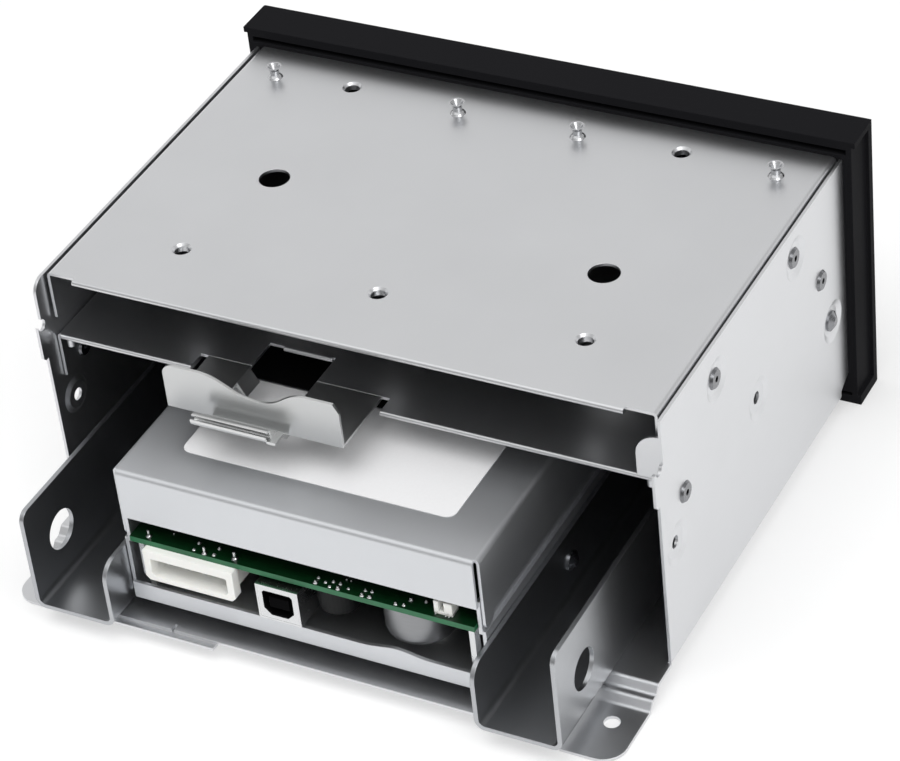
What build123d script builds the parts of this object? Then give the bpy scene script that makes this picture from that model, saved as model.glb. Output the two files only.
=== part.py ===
"""Removable disk drive in a folded sheet steel bay cage.

Millimetres, +Z up. The front bezel faces -Y and the open rear faces +Y.
The origin is at the bottom, in the middle of the width and of the depth.
"""

from build123d import *
import os

os.makedirs("parts", exist_ok=True)

# Overall depth, from the bezel's face to the rear end of the brackets
overall_depth = 168.0
front_y = -overall_depth / 2
rear_y = overall_depth / 2

# Bezel
bezel_width = 179.0
bezel_height = 84.0
bezel_depth = 13.0
bezel_face = 3.0
bezel_skirt = 2.5
bezel_round = 1.5
side_relief = 1.0
side_relief_front = 3.5
side_relief_low = 3.0
side_relief_drop = 1.6
bezel_seat_width = 3.5
bezel_seat_margin = 1.0
bezel_top_margin = 5.2
lug_length = 15.0
lug_height = 11.0
lug_thickness = 3.0
lug_hole_reach = 6.0

# Cage: one folded base with two walls, and a folded cover between the walls
sheet = 0.8
bend = 1.3
cage_width = 172.0
cage_setback = 38.0
cage_depth = overall_depth - bezel_depth - cage_setback
cage_top = bezel_height - bezel_top_margin
cage_base_z = 4.5
wall_drop = 0.4
cover_gap = 0.7
cover_flange_share = 0.7254
cover_rear_setback = 5.0
corner_round = 4.0
hem_thickness = 1.6
hem_length = 6.0
hem_corner = 8.3
hem_reach = 1.5
front_corner_cut = 5.0
front_corner_step = 2.8
front_corner_rise = 5.6

# Ears behind the walls, stepped down to the level of the bezel's foot
ear_width = 15.2
ear_length = 33.0
ear_step_start = 8.0
ear_step_length = 2.0
ear_shelf_length = 1.8
ear_shelf_drop = 2.2
ear_bend = 1.4
ear_corner = 6.0
ear_hole_radius = 2.1
ear_hole_pitch = 157.6
ear_hole_setback = 13.0
plate_setback = 4.5
plate_tab_low = 24.0
plate_tab_high = 53.0
plate_tab_reach = 1.8
plate_tab_lap = 6.0
plate_slit_x = 36.7
plate_slit_width = 0.8
plate_slit_depth = 2.0

# Rear stop on the right wall and the heel below it on both walls
stop_reach = 7.0
stop_height = 13.0
stop_rise = 1.0
stop_step = 3.0
notch_radius = 1.6
stop_notch_setback = 0.6
heel_notch_setback = -0.2
heel_drop = 4.5
heel_height = 10.5
heel_reach = 1.9

# Pressed screw dishes in the walls
dish_radius = 6.8
dish_flat = 4.2
dish_relief = 0.4
wall_hole_radius = 1.7

# Rivets and screws
rivet_radius = 1.6
rivet_bore = 0.8
rivet_head_radius = 2.9
rivet_head = 0.7
screw_head_radius = 2.8
screw_head = 1.6
screw_core = 1.5
screw_socket = 1.1
screw_rim = 0.5
screw_tip_gap = 0.3

# Places of the rivets, screws and threaded dishes in the walls
cover_rivet_front = 31.8
cover_rivet_setback = 35.1
cover_rivet_front_share = 0.693
cover_rivet_rear_share = 0.807
shelf_rivet_front = 16.4
shelf_rivet_setback = 13.7
shelf_rivet_front_drop = 7.8
shelf_rivet_rear_drop = 10.4
bezel_screw_front = 9.4
bezel_screw_z = 33.7
side_mount_front = 58.1
side_mount_front_z = 44.1
side_mount_setback = 8.0
side_mount_rear_z = 37.6

# Cover holes and studs
collar_radius = 2.7
collar_bore = 2.0
collar_depth = 1.4
access_hole_radius = 4.15
stud_radius = 1.25
stud_flare = 2.1
stud_height = 3.4
stud_cup = 2.4
stud_tail = 1.2
stud_front = 12.6
stud_outer_pitch = 146.2
stud_inner_pitch = 35.0
front_hole_front = 10.5
front_hole_pitch = 96.6
front_hole_offset = 2.2
rear_hole_setback = 25.5
rear_hole_pitch = 56.5
access_hole_places = ((49.4, 55.7), (-49.4, 65.4))

# Divider shelf and its spring latch
shelf_share = 0.348
shelf_flange = 13.5
shelf_front_setback = 5.0
shelf_hem = 1.4
shelf_gap = 0.2
shelf_peg_radius = 1.1
shelf_peg_length = 2.6
shelf_peg_inset = 4.6
latch_centre = 17.9
latch_width = 49.6
latch_reach = 15.5
latch_slit = 2.2
latch_slit_depth = 5.0
latch_parting = 0.1
latch_wing = 12.2
latch_dip = 7.3
wing_flat = 9.5
dip_offset = 1.6
dip_half = 4.5
dip_blend = 0.7
window_centre = 20.9
window_width = 18.8
window_length = 22.8
window_lap = 12.8
window_hem_width = 13.9
window_hem_length = 3.0
window_flap_length = 6.6
window_flap_drop = 4.0
window_flap_lean = 2.4
window_flap_setback = 0.8
catch_width = 21.5
catch_centre = 19.3
catch_lap = 7.2
catch_rise = 1.9
catch_ramp_start = 0.4
catch_ramp = 1.4
catch_ramp_fit = 0.5
catch_curl_reach = 5.0
catch_curl_radius = 1.5
catch_curl_bore = 0.6
catch_curl_extra = 2.2
catch_curl_sink = 0.05
catch_rivet_radius = 0.9
catch_rivet_setback = 4.5
catch_rivet_head = 0.5

# Drive brackets, one channel on each side of the drive
bracket_sheet = 1.2
bracket_bend = 2.8
bracket_width = 149.0
bracket_outer_height = 30.2
bracket_inner_height = 19.2
bracket_front_gap = 0.2
wing_hole_radius = 5.5
wing_hole_setback = 14.4
wing_hole_z = 19.9
bracket_rivet_fronts = (31.0, 91.0)

# Drive body
drive_width = 101.6
drive_bottom = 9.0
drive_top = 49.2
drive_rear_setback = 9.8
drive_front_gap = 12.0
drive_sheet = 0.8
tray_sheet = 1.0
tray_wall_top = 27.0
tray_lap_top = 36.0
tray_lap_fit = 0.1
tray_lip = 5.0
lip_hump = 1.2
drive_fit = 0.2
cover_side_low = 30.5
cover_tab_low = 27.9
cover_tab_length = 5.2
cover_rear_low = 34.5
drive_screw_rise = 6.4
drive_screw_fronts = (41.0, 101.0)

# Circuit board and what is on it
board_thickness = 1.6
board_top = 28.9
board_width = 96.8
board_depth = 24.5
standoff_radius = 1.5
standoff_inset = 1.8
power_width = 26.0
power_height = 11.8
power_depth = 14.5
power_centre = 31.0
power_wall = 1.9
power_pitch = 5.08
power_pin_radius = 1.05
power_cavity_depth = 11.0
power_overhang = 2.0
usb_width = 12.0
usb_height = 10.9
usb_depth = 16.3
usb_centre = 5.7
usb_drop = 1.4
usb_sheet = 0.5
usb_opening = 8.6
usb_overhang = 1.8
usb_tongue_width = 5.6
usb_tongue_height = 3.2
usb_insert_setback = 0.6
usb_cavity_start = 5.0
can_radius = 8.0
can_height = 10.3
can_x = -30.0
header_width = 5.0
header_height = 4.0
header_x = -39.5
coil_x = -8.0
coil_radius = 4.8
coil_height = 6.5

# Cartridge bay
cradle_wall = 2.2
cradle_floor_top = 15.6
cradle_floor = 2.0
cradle_top = 44.0
cradle_front_gap = 1.2
cradle_board_gap = 4.0
cradle_fit = 0.3
guide_depth = 2.1
guide_top = 38.0
guide_front = 19.0
foot_x = 40.0
foot_width = 2.5
dock_width = 38.0
dock_height = 8.0
dock_length = 12.0
dock_fit = 0.4

# Ejector slide
ejector_x = -29.0
ejector_bar = 6.0
ejector_thickness = 2.4
ejector_neck = 2.4
ejector_pusher_width = 9.0
ejector_pusher_height = 9.0
ejector_pusher_length = 3.0
ejector_travel = 14.0
ejector_fit = 0.3
ejector_bar_length = 42.0

# Drive fascia and cartridge door
fascia_width = 148.0
fascia_height = 42.0
fascia_bottom = 7.8
fascia_plate = 2.5
fascia_skirt = 1.8
fascia_recess = 1.5
bay_fit = 0.6
slot_width = 92.4
slot_bottom = 15.4
slot_top = 44.6
door_fit = 0.4
door_thickness = 2.0
door_recess = 0.5
door_rib = 1.2
door_rib_pitch = 30.0
hinge_rise = 2.0
hinge_behind = 0.4
pin_radius = 1.0
pin_fit = 0.05
barrel_radius = 1.8
pin_lug_width = 2.4
fascia_screw_x = 32.0
fascia_screw_z = 11.8
fascia_screw_core = 1.0
fascia_screw_head = 1.7
boss_radius = 2.6

# Eject button, front board and lights
button_offset = 0.9
button_z = 23.5
pinhole_offset = 3.8
button_width = 14.0
button_height = 8.0
button_fit = 0.3
button_proud = 1.2
button_travel = 1.2
button_flange = 1.0
button_stem = 1.5
button_seat = 0.1
button_lost_motion = 0.2
front_board_setback = 6.0
front_board_thickness = 1.2
front_board_z = 29.0
front_board_fit = 0.2
front_board_height = 30.0
switch_size = 6.0
switch_height = 1.6
switch_plunger = 1.75
switch_plunger_height = 0.8
light_width = 3.2
light_height = 1.6
light_z = 37.0
light_pitch = 8.0
post_radius = 1.6
post_inset = 2.0

# Upper bay
upper_width = 149.2
upper_bay_clearance = 0.8
upper_bay_drop = 2.0
blank_hook = 2.0
blank_plate = 2.0

# Places worked out from the sizes above
shelf_top = drive_top + shelf_share * (cage_top - drive_top)
cover_flange = cover_flange_share * (cage_top - shelf_top)
upper_bottom = shelf_top + upper_bay_clearance
upper_top = cage_top - upper_bay_drop
pinhole_x = slot_width / 2 + pinhole_offset
button_x = (slot_width + fascia_width) / 4 + button_offset
front_board_width = 2 * (fascia_width / 2 - fascia_skirt - front_board_fit - button_x)
cage_front = front_y + bezel_depth
wall_rear = cage_front + cage_depth
rear_hole_front = cage_depth - rear_hole_setback
stop_low = shelf_top + stop_rise
stop_high = stop_low + stop_height
heel_low = shelf_top - heel_drop
heel_high = heel_low + heel_height
cover_rear = wall_rear - cover_rear_setback
wall_outer = cage_width / 2
wall_inner = wall_outer - sheet
flange_outer = wall_inner - cover_gap
flange_inner = flange_outer - sheet
floor_top = cage_base_z + sheet
plate_rear = rear_y - plate_setback
plate_half = wall_outer - ear_width
ear_rear = wall_rear + ear_length
ear_hole_y = ear_rear - ear_hole_setback
stud_y = cage_front + stud_front
hem_rear = cover_rear + hem_reach
latch_hinge_y = cover_rear - latch_slit_depth
latch_hinge_z = shelf_top - sheet / 2
latch_rear = cover_rear + latch_reach
window_front = latch_hinge_y + window_lap - window_length
bracket_half = bracket_width / 2
bracket_inner = drive_width / 2 + drive_fit
bracket_floor_top = floor_top + bracket_sheet
bracket_front = cage_front + bracket_front_gap
drive_front = front_y + drive_front_gap
drive_rear = rear_y - drive_rear_setback
drive_half = drive_width / 2
board_rear = drive_rear + 0.3
board_front = board_rear - board_depth
board_bottom = board_top - board_thickness
cradle_outer = drive_half - tray_sheet - drive_sheet - 0.1 - cradle_fit
cradle_inner = cradle_outer - cradle_wall
cradle_front = drive_front + cradle_front_gap
cradle_rear = board_front - cradle_board_gap
tray_floor_top = drive_bottom + tray_sheet
fascia_face = front_y + fascia_recess
fascia_back = fascia_face + fascia_plate
hinge_y = fascia_back + hinge_behind
hinge_z = slot_top - hinge_rise
front_board_y = fascia_back + front_board_setback

# Wall holes as distance behind the cage front and height
cover_rivet_places = (
    (cover_rivet_front, cage_top - cover_rivet_front_share * cover_flange),
    (cage_depth - cover_rivet_setback, cage_top - cover_rivet_rear_share * cover_flange),
)
shelf_rivet_places = (
    (shelf_rivet_front, shelf_top - shelf_rivet_front_drop),
    (cage_depth - shelf_rivet_setback, shelf_top - shelf_rivet_rear_drop),
)
bezel_screw_place = (bezel_screw_front, bezel_screw_z)
side_mount_places = (
    (side_mount_front, side_mount_front_z),
    (cage_depth - side_mount_setback, side_mount_rear_z),
)


def front_plane(y):
    """Upright plane across the width: local x is +X, local y is +Z, extrude(-n) goes rearward."""
    return Plane.XZ.offset(-y)


def channel_face(half, bend_z, open_z, thickness, radius):
    """Section of a folded channel: a web at bend_z and two flanges that end at open_z."""
    step = thickness if open_z > bend_z else -thickness
    inner = half - thickness
    with BuildSketch() as section:
        with BuildLine():
            FilletPolyline((-half, open_z), (-half, bend_z), (half, bend_z), (half, open_z), radius=radius)
            Line((half, open_z), (inner, open_z))
            FilletPolyline(
                (inner, open_z),
                (inner, bend_z + step),
                (-inner, bend_z + step),
                (-inner, open_z),
                radius=radius - thickness,
            )
            Line((-inner, open_z), (-half, open_z))
        make_face()
    return section.sketch


def hem_face(rear, length, top, thickness):
    """Side section of a flattened hem: a strip with a half-round rear edge."""
    radius = thickness / 2
    with BuildSketch() as section:
        with BuildLine():
            Line((rear - radius, top), (rear - length, top))
            Line((rear - length, top), (rear - length, top - thickness))
            Line((rear - length, top - thickness), (rear - radius, top - thickness))
            ThreePointArc(
                (rear - radius, top - thickness),
                (rear, top - radius),
                (rear - radius, top),
            )
        make_face()
    return section.sketch


def finish(builder, name):
    """Label a finished piece and write its file."""
    builder.part.label = name
    export_step(builder.part, "parts/" + name + ".step")


def block(x_span, y_span, z_span, mode=Mode.ADD):
    """Rectangular solid between three pairs of limits."""
    spans = (x_span, y_span, z_span)
    middle = [(low + high) / 2 for low, high in spans]
    sizes = [high - low for low, high in spans]
    with Locations(tuple(middle)):
        Box(*sizes, mode=mode)


def rod(start, direction, length, radius, mode=Mode.ADD):
    """Cylinder that starts at a point and runs along a direction."""
    with BuildPart(Plane(origin=start, z_dir=direction), mode=Mode.PRIVATE) as piece:
        Cylinder(radius, length, align=(Align.CENTER, Align.CENTER, Align.MIN))
    add(piece.part, mode=mode)


def turned(profile, start, direction, mode=Mode.ADD):
    """Solid of revolution from (radius, distance) points, set on an axis."""
    with BuildPart(mode=Mode.PRIVATE) as piece:
        with BuildSketch(Plane.XZ):
            Polygon(*profile, align=None)
        revolve(axis=Axis.Z)
    add(Plane(origin=start, z_dir=direction).location * piece.part, mode=mode)


def wall_points(places):
    """Points (y, z) on a wall from distances behind the cage front."""
    return [(cage_front + back, height) for back, height in places]


dish_places = wall_points(
    (cover_rivet_places[0], cover_rivet_places[1], bezel_screw_place) + side_mount_places
)
plain_places = wall_points(shelf_rivet_places)

# Section of a pressed dish around a hole: distance from the axis, depth below the outer face
dish_profile = (
    (wall_hole_radius, cover_gap),
    (dish_flat, cover_gap),
    (dish_radius - sheet, 0),
    (dish_radius, 0),
    (dish_radius, sheet),
    (dish_radius - 2 * sheet, sheet),
    (dish_flat - sheet / 2, cover_gap + sheet),
    (wall_hole_radius, cover_gap + sheet),
)

# Cage base: floor, two walls, rear stops and stepped ears, folded from one sheet
with BuildPart() as cage_base:
    with BuildSketch(front_plane(cage_front)):
        add(channel_face(wall_outer, cage_base_z, cage_top - wall_drop, sheet, bend))
    extrude(amount=-cage_depth)
    # Cut-off lower front corners
    with BuildSketch(Plane.YZ):
        with BuildLine():
            Polyline(
                (cage_front, cage_base_z),
                (cage_front + front_corner_cut, cage_base_z),
                (cage_front + front_corner_cut, cage_base_z + front_corner_step),
                (cage_front, cage_base_z + front_corner_rise),
                close=True,
            )
        make_face()
    extrude(amount=cage_width, both=True, mode=Mode.SUBTRACT)
    # The right wall ends early above its heel, where its stop is bent inwards
    block(
        (-wall_outer, -wall_inner),
        (wall_rear - stop_step, wall_rear),
        (heel_high, cage_top),
        mode=Mode.SUBTRACT,
    )
    with BuildSketch(front_plane(wall_rear - stop_step - sheet)):
        with BuildLine():
            Line((-wall_outer, stop_low), (-wall_outer + stop_reach, stop_low))
            Line(
                (-wall_outer + stop_reach, stop_low),
                (-wall_outer + stop_reach, (stop_low + stop_high) / 2),
            )
            JernArc(
                start=(-wall_outer + stop_reach, (stop_low + stop_high) / 2),
                tangent=(0, 1),
                radius=stop_reach - sheet,
                arc_size=90,
            )
            Polyline(
                (-wall_inner, (stop_low + stop_high) / 2 + stop_reach - sheet),
                (-wall_outer, stop_high),
                (-wall_outer, stop_low),
            )
        make_face()
    extrude(amount=-sheet)
    # Round upper rear corner of the left wall
    left_corner = cage_base.edges().filter_by(Axis.X).filter_by_position(
        Axis.X, wall_inner, wall_outer
    ).group_by(Axis.Z)[-1].sort_by(Axis.Y)[-1]
    fillet(left_corner, corner_round)
    # Heels that stand out behind both walls, with a round notch above each
    for side, setback in ((-1, stop_notch_setback), (1, heel_notch_setback)):
        with BuildSketch(Plane.YZ.offset(side * (wall_outer - sheet / 2))):
            with BuildLine():
                Polyline(
                    (wall_rear - sheet, heel_low),
                    (wall_rear + heel_reach - sheet, heel_low),
                    (wall_rear + heel_reach, heel_low + sheet),
                    (wall_rear + heel_reach, heel_high),
                    (wall_rear - sheet, heel_high),
                    close=True,
                )
            make_face()
        extrude(amount=sheet / 2, both=True)
        rod(
            (side * (wall_outer + sheet), wall_rear - setback, heel_high),
            (-side, 0, 0),
            3 * sheet,
            notch_radius,
            mode=Mode.SUBTRACT,
        )
    # Floor behind the walls
    block(
        (-plate_half, plate_half),
        (wall_rear, plate_rear),
        (cage_base_z, floor_top),
    )
    # Joggled tab under the rear edge of the floor, and the slit above it
    block(
        (plate_tab_low, plate_tab_high),
        (plate_rear - plate_tab_lap, plate_rear + plate_tab_reach),
        (cage_base_z - sheet, cage_base_z),
    )
    block(
        (plate_slit_x - plate_slit_width / 2, plate_slit_x + plate_slit_width / 2),
        (plate_rear - plate_slit_depth, plate_rear),
        (cage_base_z, floor_top),
        mode=Mode.SUBTRACT,
    )
    # Ears that step down in two stages
    ear_shelf_y = wall_rear + ear_step_start + ear_step_length
    ear_foot_y = ear_shelf_y + ear_shelf_length + ear_step_length
    for side in (-1, 1):
        with BuildSketch(Plane.YZ.offset(side * (plate_half + ear_width / 2))):
            with BuildLine():
                FilletPolyline(
                    (wall_rear, floor_top),
                    (wall_rear + ear_step_start, floor_top),
                    (ear_shelf_y, floor_top - ear_shelf_drop),
                    (ear_shelf_y + ear_shelf_length, floor_top - ear_shelf_drop),
                    (ear_foot_y, sheet),
                    (ear_rear, sheet),
                    radius=ear_bend,
                )
                Line((ear_rear, sheet), (ear_rear, 0))
                FilletPolyline(
                    (ear_rear, 0),
                    (ear_foot_y - sheet / 2, 0),
                    (ear_shelf_y + ear_shelf_length - sheet / 2, cage_base_z - ear_shelf_drop),
                    (ear_shelf_y - sheet / 2, cage_base_z - ear_shelf_drop),
                    (wall_rear + ear_step_start - sheet / 2, cage_base_z),
                    (wall_rear, cage_base_z),
                    radius=ear_bend,
                )
                Line((wall_rear, cage_base_z), (wall_rear, floor_top))
            make_face()
        extrude(amount=ear_width / 2, both=True)
        with Locations((side * ear_hole_pitch / 2, ear_hole_y, 0)):
            Cylinder(ear_hole_radius, 4 * sheet, mode=Mode.SUBTRACT)
    for side in (-1, 1):
        with BuildSketch(Plane.XY.offset(-sheet)):
            with BuildLine():
                CenterArc(
                    (side * (wall_outer - ear_corner), ear_rear - ear_corner),
                    ear_corner,
                    0 if side > 0 else 90,
                    90,
                )
                Polyline(
                    (side * wall_outer, ear_rear - ear_corner),
                    (side * (wall_outer + 1), ear_rear - ear_corner),
                    (side * (wall_outer + 1), ear_rear + 1),
                    (side * (wall_outer - ear_corner), ear_rear + 1),
                    (side * (wall_outer - ear_corner), ear_rear),
                )
            make_face()
        extrude(amount=cage_base_z, mode=Mode.SUBTRACT)
    # Pressed dishes and plain holes in both walls
    for side in (-1, 1):
        for y, z in dish_places:
            rod((side * (wall_outer + 1), y, z), (-side, 0, 0), 3, dish_radius, mode=Mode.SUBTRACT)
            turned(dish_profile, (side * wall_outer, y, z), (-side, 0, 0))
        for y, z in plain_places:
            rod((side * (wall_outer + 1), y, z), (-side, 0, 0), 3, rivet_radius, mode=Mode.SUBTRACT)
    # Holes in the floor for the bracket rivets
    with Locations(
        [
            (side * (bracket_inner + bracket_half) / 2, cage_front + back, cage_base_z)
            for side in (-1, 1)
            for back in bracket_rivet_fronts
        ]
    ):
        Cylinder(rivet_radius, 4 * sheet, mode=Mode.SUBTRACT)
finish(cage_base, "cage_base")

# Holes in the cage cover, as distance behind the cage front and distance from the middle
collar_places = [
    (front_hole_offset + side * front_hole_pitch / 2, cage_front + front_hole_front)
    for side in (-1, 1)
]
collar_places += [(side * rear_hole_pitch, cage_front + rear_hole_front) for side in (-1, 0, 1)]
access_places = [(x, cage_front + back) for x, back in access_hole_places]
stud_places = [
    (side * pitch / 2, stud_y) for side in (-1, 1) for pitch in (stud_outer_pitch, stud_inner_pitch)
]

# Cage cover: a plate with two flanges inside the walls and a hem along its rear edge
with BuildPart() as cage_cover:
    with BuildSketch(front_plane(cage_front)):
        add(channel_face(flange_outer, cage_top, cage_top - cover_flange, sheet, bend))
    extrude(amount=-(cover_rear - cage_front))
    with BuildSketch(Plane.YZ):
        add(hem_face(hem_rear, hem_length, cage_top, hem_thickness))
    extrude(amount=flange_outer - hem_corner, both=True)
    with Locations([(x, y, cage_top) for x, y in collar_places]):
        Cylinder(
            collar_radius,
            sheet + collar_depth,
            align=(Align.CENTER, Align.CENTER, Align.MAX),
        )
        CounterSinkHole(collar_bore, collar_radius - 0.1, depth=sheet + collar_depth)
    with Locations([(x, y, cage_top) for x, y in access_places]):
        Hole(access_hole_radius, depth=sheet)
    with Locations([(x, y, cage_top) for x, y in stud_places]):
        Hole(stud_radius, depth=sheet)
    for side in (-1, 1):
        for y, z in wall_points(cover_rivet_places):
            rod((side * wall_outer, y, z), (-side, 0, 0), 5, rivet_radius, mode=Mode.SUBTRACT)
finish(cage_cover, "cage_cover")

# Flared hanger studs on the cover
stud_profile = (
    (0, -sheet - stud_tail),
    (stud_radius + 0.8, -sheet - stud_tail),
    (stud_radius + 0.8, -sheet),
    (stud_radius, -sheet),
    (stud_radius, 0),
    (stud_radius + 0.9, 0),
    (stud_radius + 0.5, 0.5),
    (stud_radius, 0.9),
    (stud_radius, stud_height - 1.2),
    (stud_flare, stud_height),
    (stud_flare - 0.4, stud_height),
    (0, stud_height - stud_cup),
)
with BuildPart() as hanger_studs:
    for x, y in stud_places:
        turned(stud_profile, (x, y, cage_top), (0, 0, 1))
finish(hanger_studs, "hanger_studs")


def eyelet_profile(grip):
    """Section of a hollow rivet that holds a given thickness under its head."""
    return (
        (rivet_bore, -rivet_head),
        (rivet_head_radius - 0.5, -rivet_head),
        (rivet_head_radius, 0),
        (rivet_radius, 0),
        (rivet_radius, grip),
        (rivet_radius + 0.8, grip),
        (rivet_radius + 0.5, grip + rivet_head),
        (rivet_bore, grip + rivet_head),
    )


# Hollow rivets that join the cover to the walls through the pressed dishes
with BuildPart() as cover_rivets:
    for side in (-1, 1):
        for y, z in wall_points(cover_rivet_places):
            turned(
                eyelet_profile(2 * sheet), (side * (wall_outer - cover_gap), y, z), (-side, 0, 0)
            )
finish(cover_rivets, "cover_rivets")

# Divider shelf between the two bays, with hems beside the latch slits
latch_low = latch_centre - latch_width / 2
latch_high = latch_centre + latch_width / 2
with BuildPart() as divider_shelf:
    with BuildSketch(front_plane(cage_front + shelf_front_setback)):
        add(channel_face(wall_inner - shelf_gap, shelf_top, shelf_top - shelf_flange, sheet, bend))
    extrude(amount=-(cover_rear - cage_front - shelf_front_setback))
    hem_end = wall_inner - shelf_gap - bend
    for low, high in (
        (-hem_end, latch_low - latch_slit),
        (latch_high + latch_slit, hem_end),
    ):
        with BuildSketch(Plane.YZ.offset(low)):
            add(hem_face(cover_rear + shelf_hem / 2, hem_length, shelf_top, shelf_hem))
        extrude(amount=high - low)
    block(
        (latch_low - latch_slit, latch_high + latch_slit),
        (latch_hinge_y - latch_parting / 2, cover_rear + 5),
        (shelf_top - 2 * shelf_hem, shelf_top + 1),
        mode=Mode.SUBTRACT,
    )
    block(
        (window_centre - window_width / 2, window_centre + window_width / 2),
        (window_front, latch_hinge_y + 1),
        (shelf_top - 2 * sheet, shelf_top + 1),
        mode=Mode.SUBTRACT,
    )
    for side in (-1, 1):
        for y, z in wall_points(shelf_rivet_places):
            rod((side * wall_outer, y, z), (-side, 0, 0), 5, rivet_radius, mode=Mode.SUBTRACT)
        for y, z in wall_points(side_mount_places):
            rod(
                (side * wall_outer, y, z),
                (-side, 0, 0),
                5,
                dish_radius + dish_relief,
                mode=Mode.SUBTRACT,
            )
    # Hem along the window's front edge
    window_low = window_centre - window_width / 2
    window_high = window_centre + window_width / 2
    with BuildSketch(Plane.YZ.offset(window_low + sheet)):
        add(hem_face(window_front + shelf_hem / 2, window_hem_length, shelf_top, shelf_hem))
    extrude(amount=window_hem_width)
    # Pegs under the ends of the rear hem
    for side in (-1, 1):
        rod(
            (
                side * (hem_end - shelf_peg_inset / 2),
                cover_rear - shelf_hem / 2,
                shelf_top - sheet,
            ),
            (0, 0, -1),
            shelf_peg_length,
            shelf_peg_radius,
        )
finish(divider_shelf, "divider_shelf")

# Hollow rivets that join the shelf to the walls
with BuildPart() as shelf_rivets:
    for side in (-1, 1):
        for y, z in wall_points(shelf_rivet_places):
            turned(
                eyelet_profile(2 * sheet + shelf_gap), (side * wall_outer, y, z), (-side, 0, 0)
            )
finish(shelf_rivets, "shelf_rivets")

# Spring latch: a tongue of the shelf that ends in a wing-shaped finger pull
with BuildPart() as release_latch:
    with BuildSketch(Plane.XY.offset(shelf_top - sheet)):
        with Locations((latch_centre, (latch_hinge_y + latch_parting / 2 + latch_rear) / 2)):
            Rectangle(latch_width, latch_rear - latch_hinge_y - latch_parting / 2)
        with Locations((window_centre, latch_hinge_y)):
            Rectangle(window_width, 2 * window_lap, mode=Mode.SUBTRACT)
    extrude(amount=sheet)
    with BuildSketch(front_plane(latch_rear)):
        with BuildLine():
            wing_top = shelf_top + latch_wing
            dip_top = shelf_top + latch_dip
            Polyline(
                (latch_low + 1.5, wing_top),
                (latch_low, wing_top - 2.5),
                (latch_low, shelf_top - sheet),
                (latch_high, shelf_top - sheet),
                (latch_high, wing_top - 3),
            )
            JernArc(
                start=(latch_high, wing_top - 3),
                tangent=(0, 1),
                radius=3,
                arc_size=90,
            )
            Line((latch_high - 3, wing_top), (latch_high - wing_flat, wing_top))
            Spline(
                (latch_high - wing_flat, wing_top),
                (latch_centre - dip_offset + dip_half, dip_top + dip_blend),
                (latch_centre - dip_offset, dip_top),
                (latch_centre - dip_offset - dip_half, dip_top + dip_blend),
                (latch_low + wing_flat, wing_top),
                tangents=((-1, 0), (-1, 0)),
            )
            Line((latch_low + wing_flat, wing_top), (latch_low + 1.5, wing_top))
        make_face()
    extrude(amount=sheet)
    # Flap bent down from the window's left edge
    flap_front = latch_hinge_y + window_flap_setback
    with BuildSketch(front_plane(flap_front + window_flap_length)):
        with BuildLine():
            Polyline(
                (window_high, shelf_top),
                (window_high - window_flap_lean, shelf_top - window_flap_drop),
                (window_high - window_flap_lean + sheet, shelf_top - window_flap_drop),
                (window_high + sheet, shelf_top - sheet),
                (window_high + sheet, shelf_top),
                close=True,
            )
        make_face()
    extrude(amount=window_flap_length)
    for x in (catch_centre - catch_width / 4, catch_centre + catch_width / 4):
        rod(
            (x, latch_rear - catch_rivet_setback, shelf_top - 2 * sheet),
            (0, 0, 1),
            3 * sheet,
            catch_rivet_radius,
            mode=Mode.SUBTRACT,
        )
finish(release_latch, "release_latch")

# Catch strip under the tongue, raised behind the wing and rolled up at its rear end
catch_top = shelf_top - sheet
catch_low = catch_centre - catch_width / 2
curl_y = latch_rear + catch_curl_reach
curl_z = catch_top + catch_rise - sheet + catch_curl_radius - catch_curl_sink
ramp_start = latch_rear + catch_ramp_start
ramp_end = ramp_start + catch_ramp
with BuildPart() as latch_catch:
    with BuildSketch(Plane.YZ.offset(catch_low)):
        with BuildLine():
            Polyline(
                (latch_rear - catch_lap, catch_top),
                (ramp_start, catch_top),
                (ramp_end, catch_top + catch_rise),
                (curl_y, catch_top + catch_rise),
                (curl_y, catch_top + catch_rise - sheet),
                (ramp_end + catch_ramp_fit, catch_top + catch_rise - sheet),
                (ramp_start + catch_ramp_fit, catch_top - sheet),
                (latch_rear - catch_lap, catch_top - sheet),
                close=True,
            )
        make_face()
    extrude(amount=catch_width)
    curl_width = catch_width + catch_curl_extra
    rod((catch_low, curl_y, curl_z), (1, 0, 0), curl_width, catch_curl_radius)
    rod((catch_low, curl_y, curl_z), (1, 0, 0), curl_width, catch_curl_bore, mode=Mode.SUBTRACT)
    for x in (catch_centre - catch_width / 4, catch_centre + catch_width / 4):
        rod(
            (x, latch_rear - catch_rivet_setback, shelf_top - 3 * sheet),
            (0, 0, 1),
            3 * sheet,
            catch_rivet_radius,
            mode=Mode.SUBTRACT,
        )
finish(latch_catch, "latch_catch")

# Two solid rivets that hold the catch strip
catch_rivet_profile = (
    (0, -catch_rivet_head),
    (catch_rivet_radius + catch_rivet_head / 2, -catch_rivet_head),
    (catch_rivet_radius + catch_rivet_head, 0),
    (catch_rivet_radius, 0),
    (catch_rivet_radius, 2 * sheet),
    (catch_rivet_radius + catch_rivet_head, 2 * sheet),
    (catch_rivet_radius + catch_rivet_head, 2 * sheet + catch_rivet_head),
    (0, 2 * sheet + catch_rivet_head),
)
with BuildPart() as catch_rivets:
    for x in (catch_centre - catch_width / 4, catch_centre + catch_width / 4):
        turned(catch_rivet_profile, (x, latch_rear - catch_rivet_setback, shelf_top), (0, 0, -1))
finish(catch_rivets, "catch_rivets")

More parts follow.
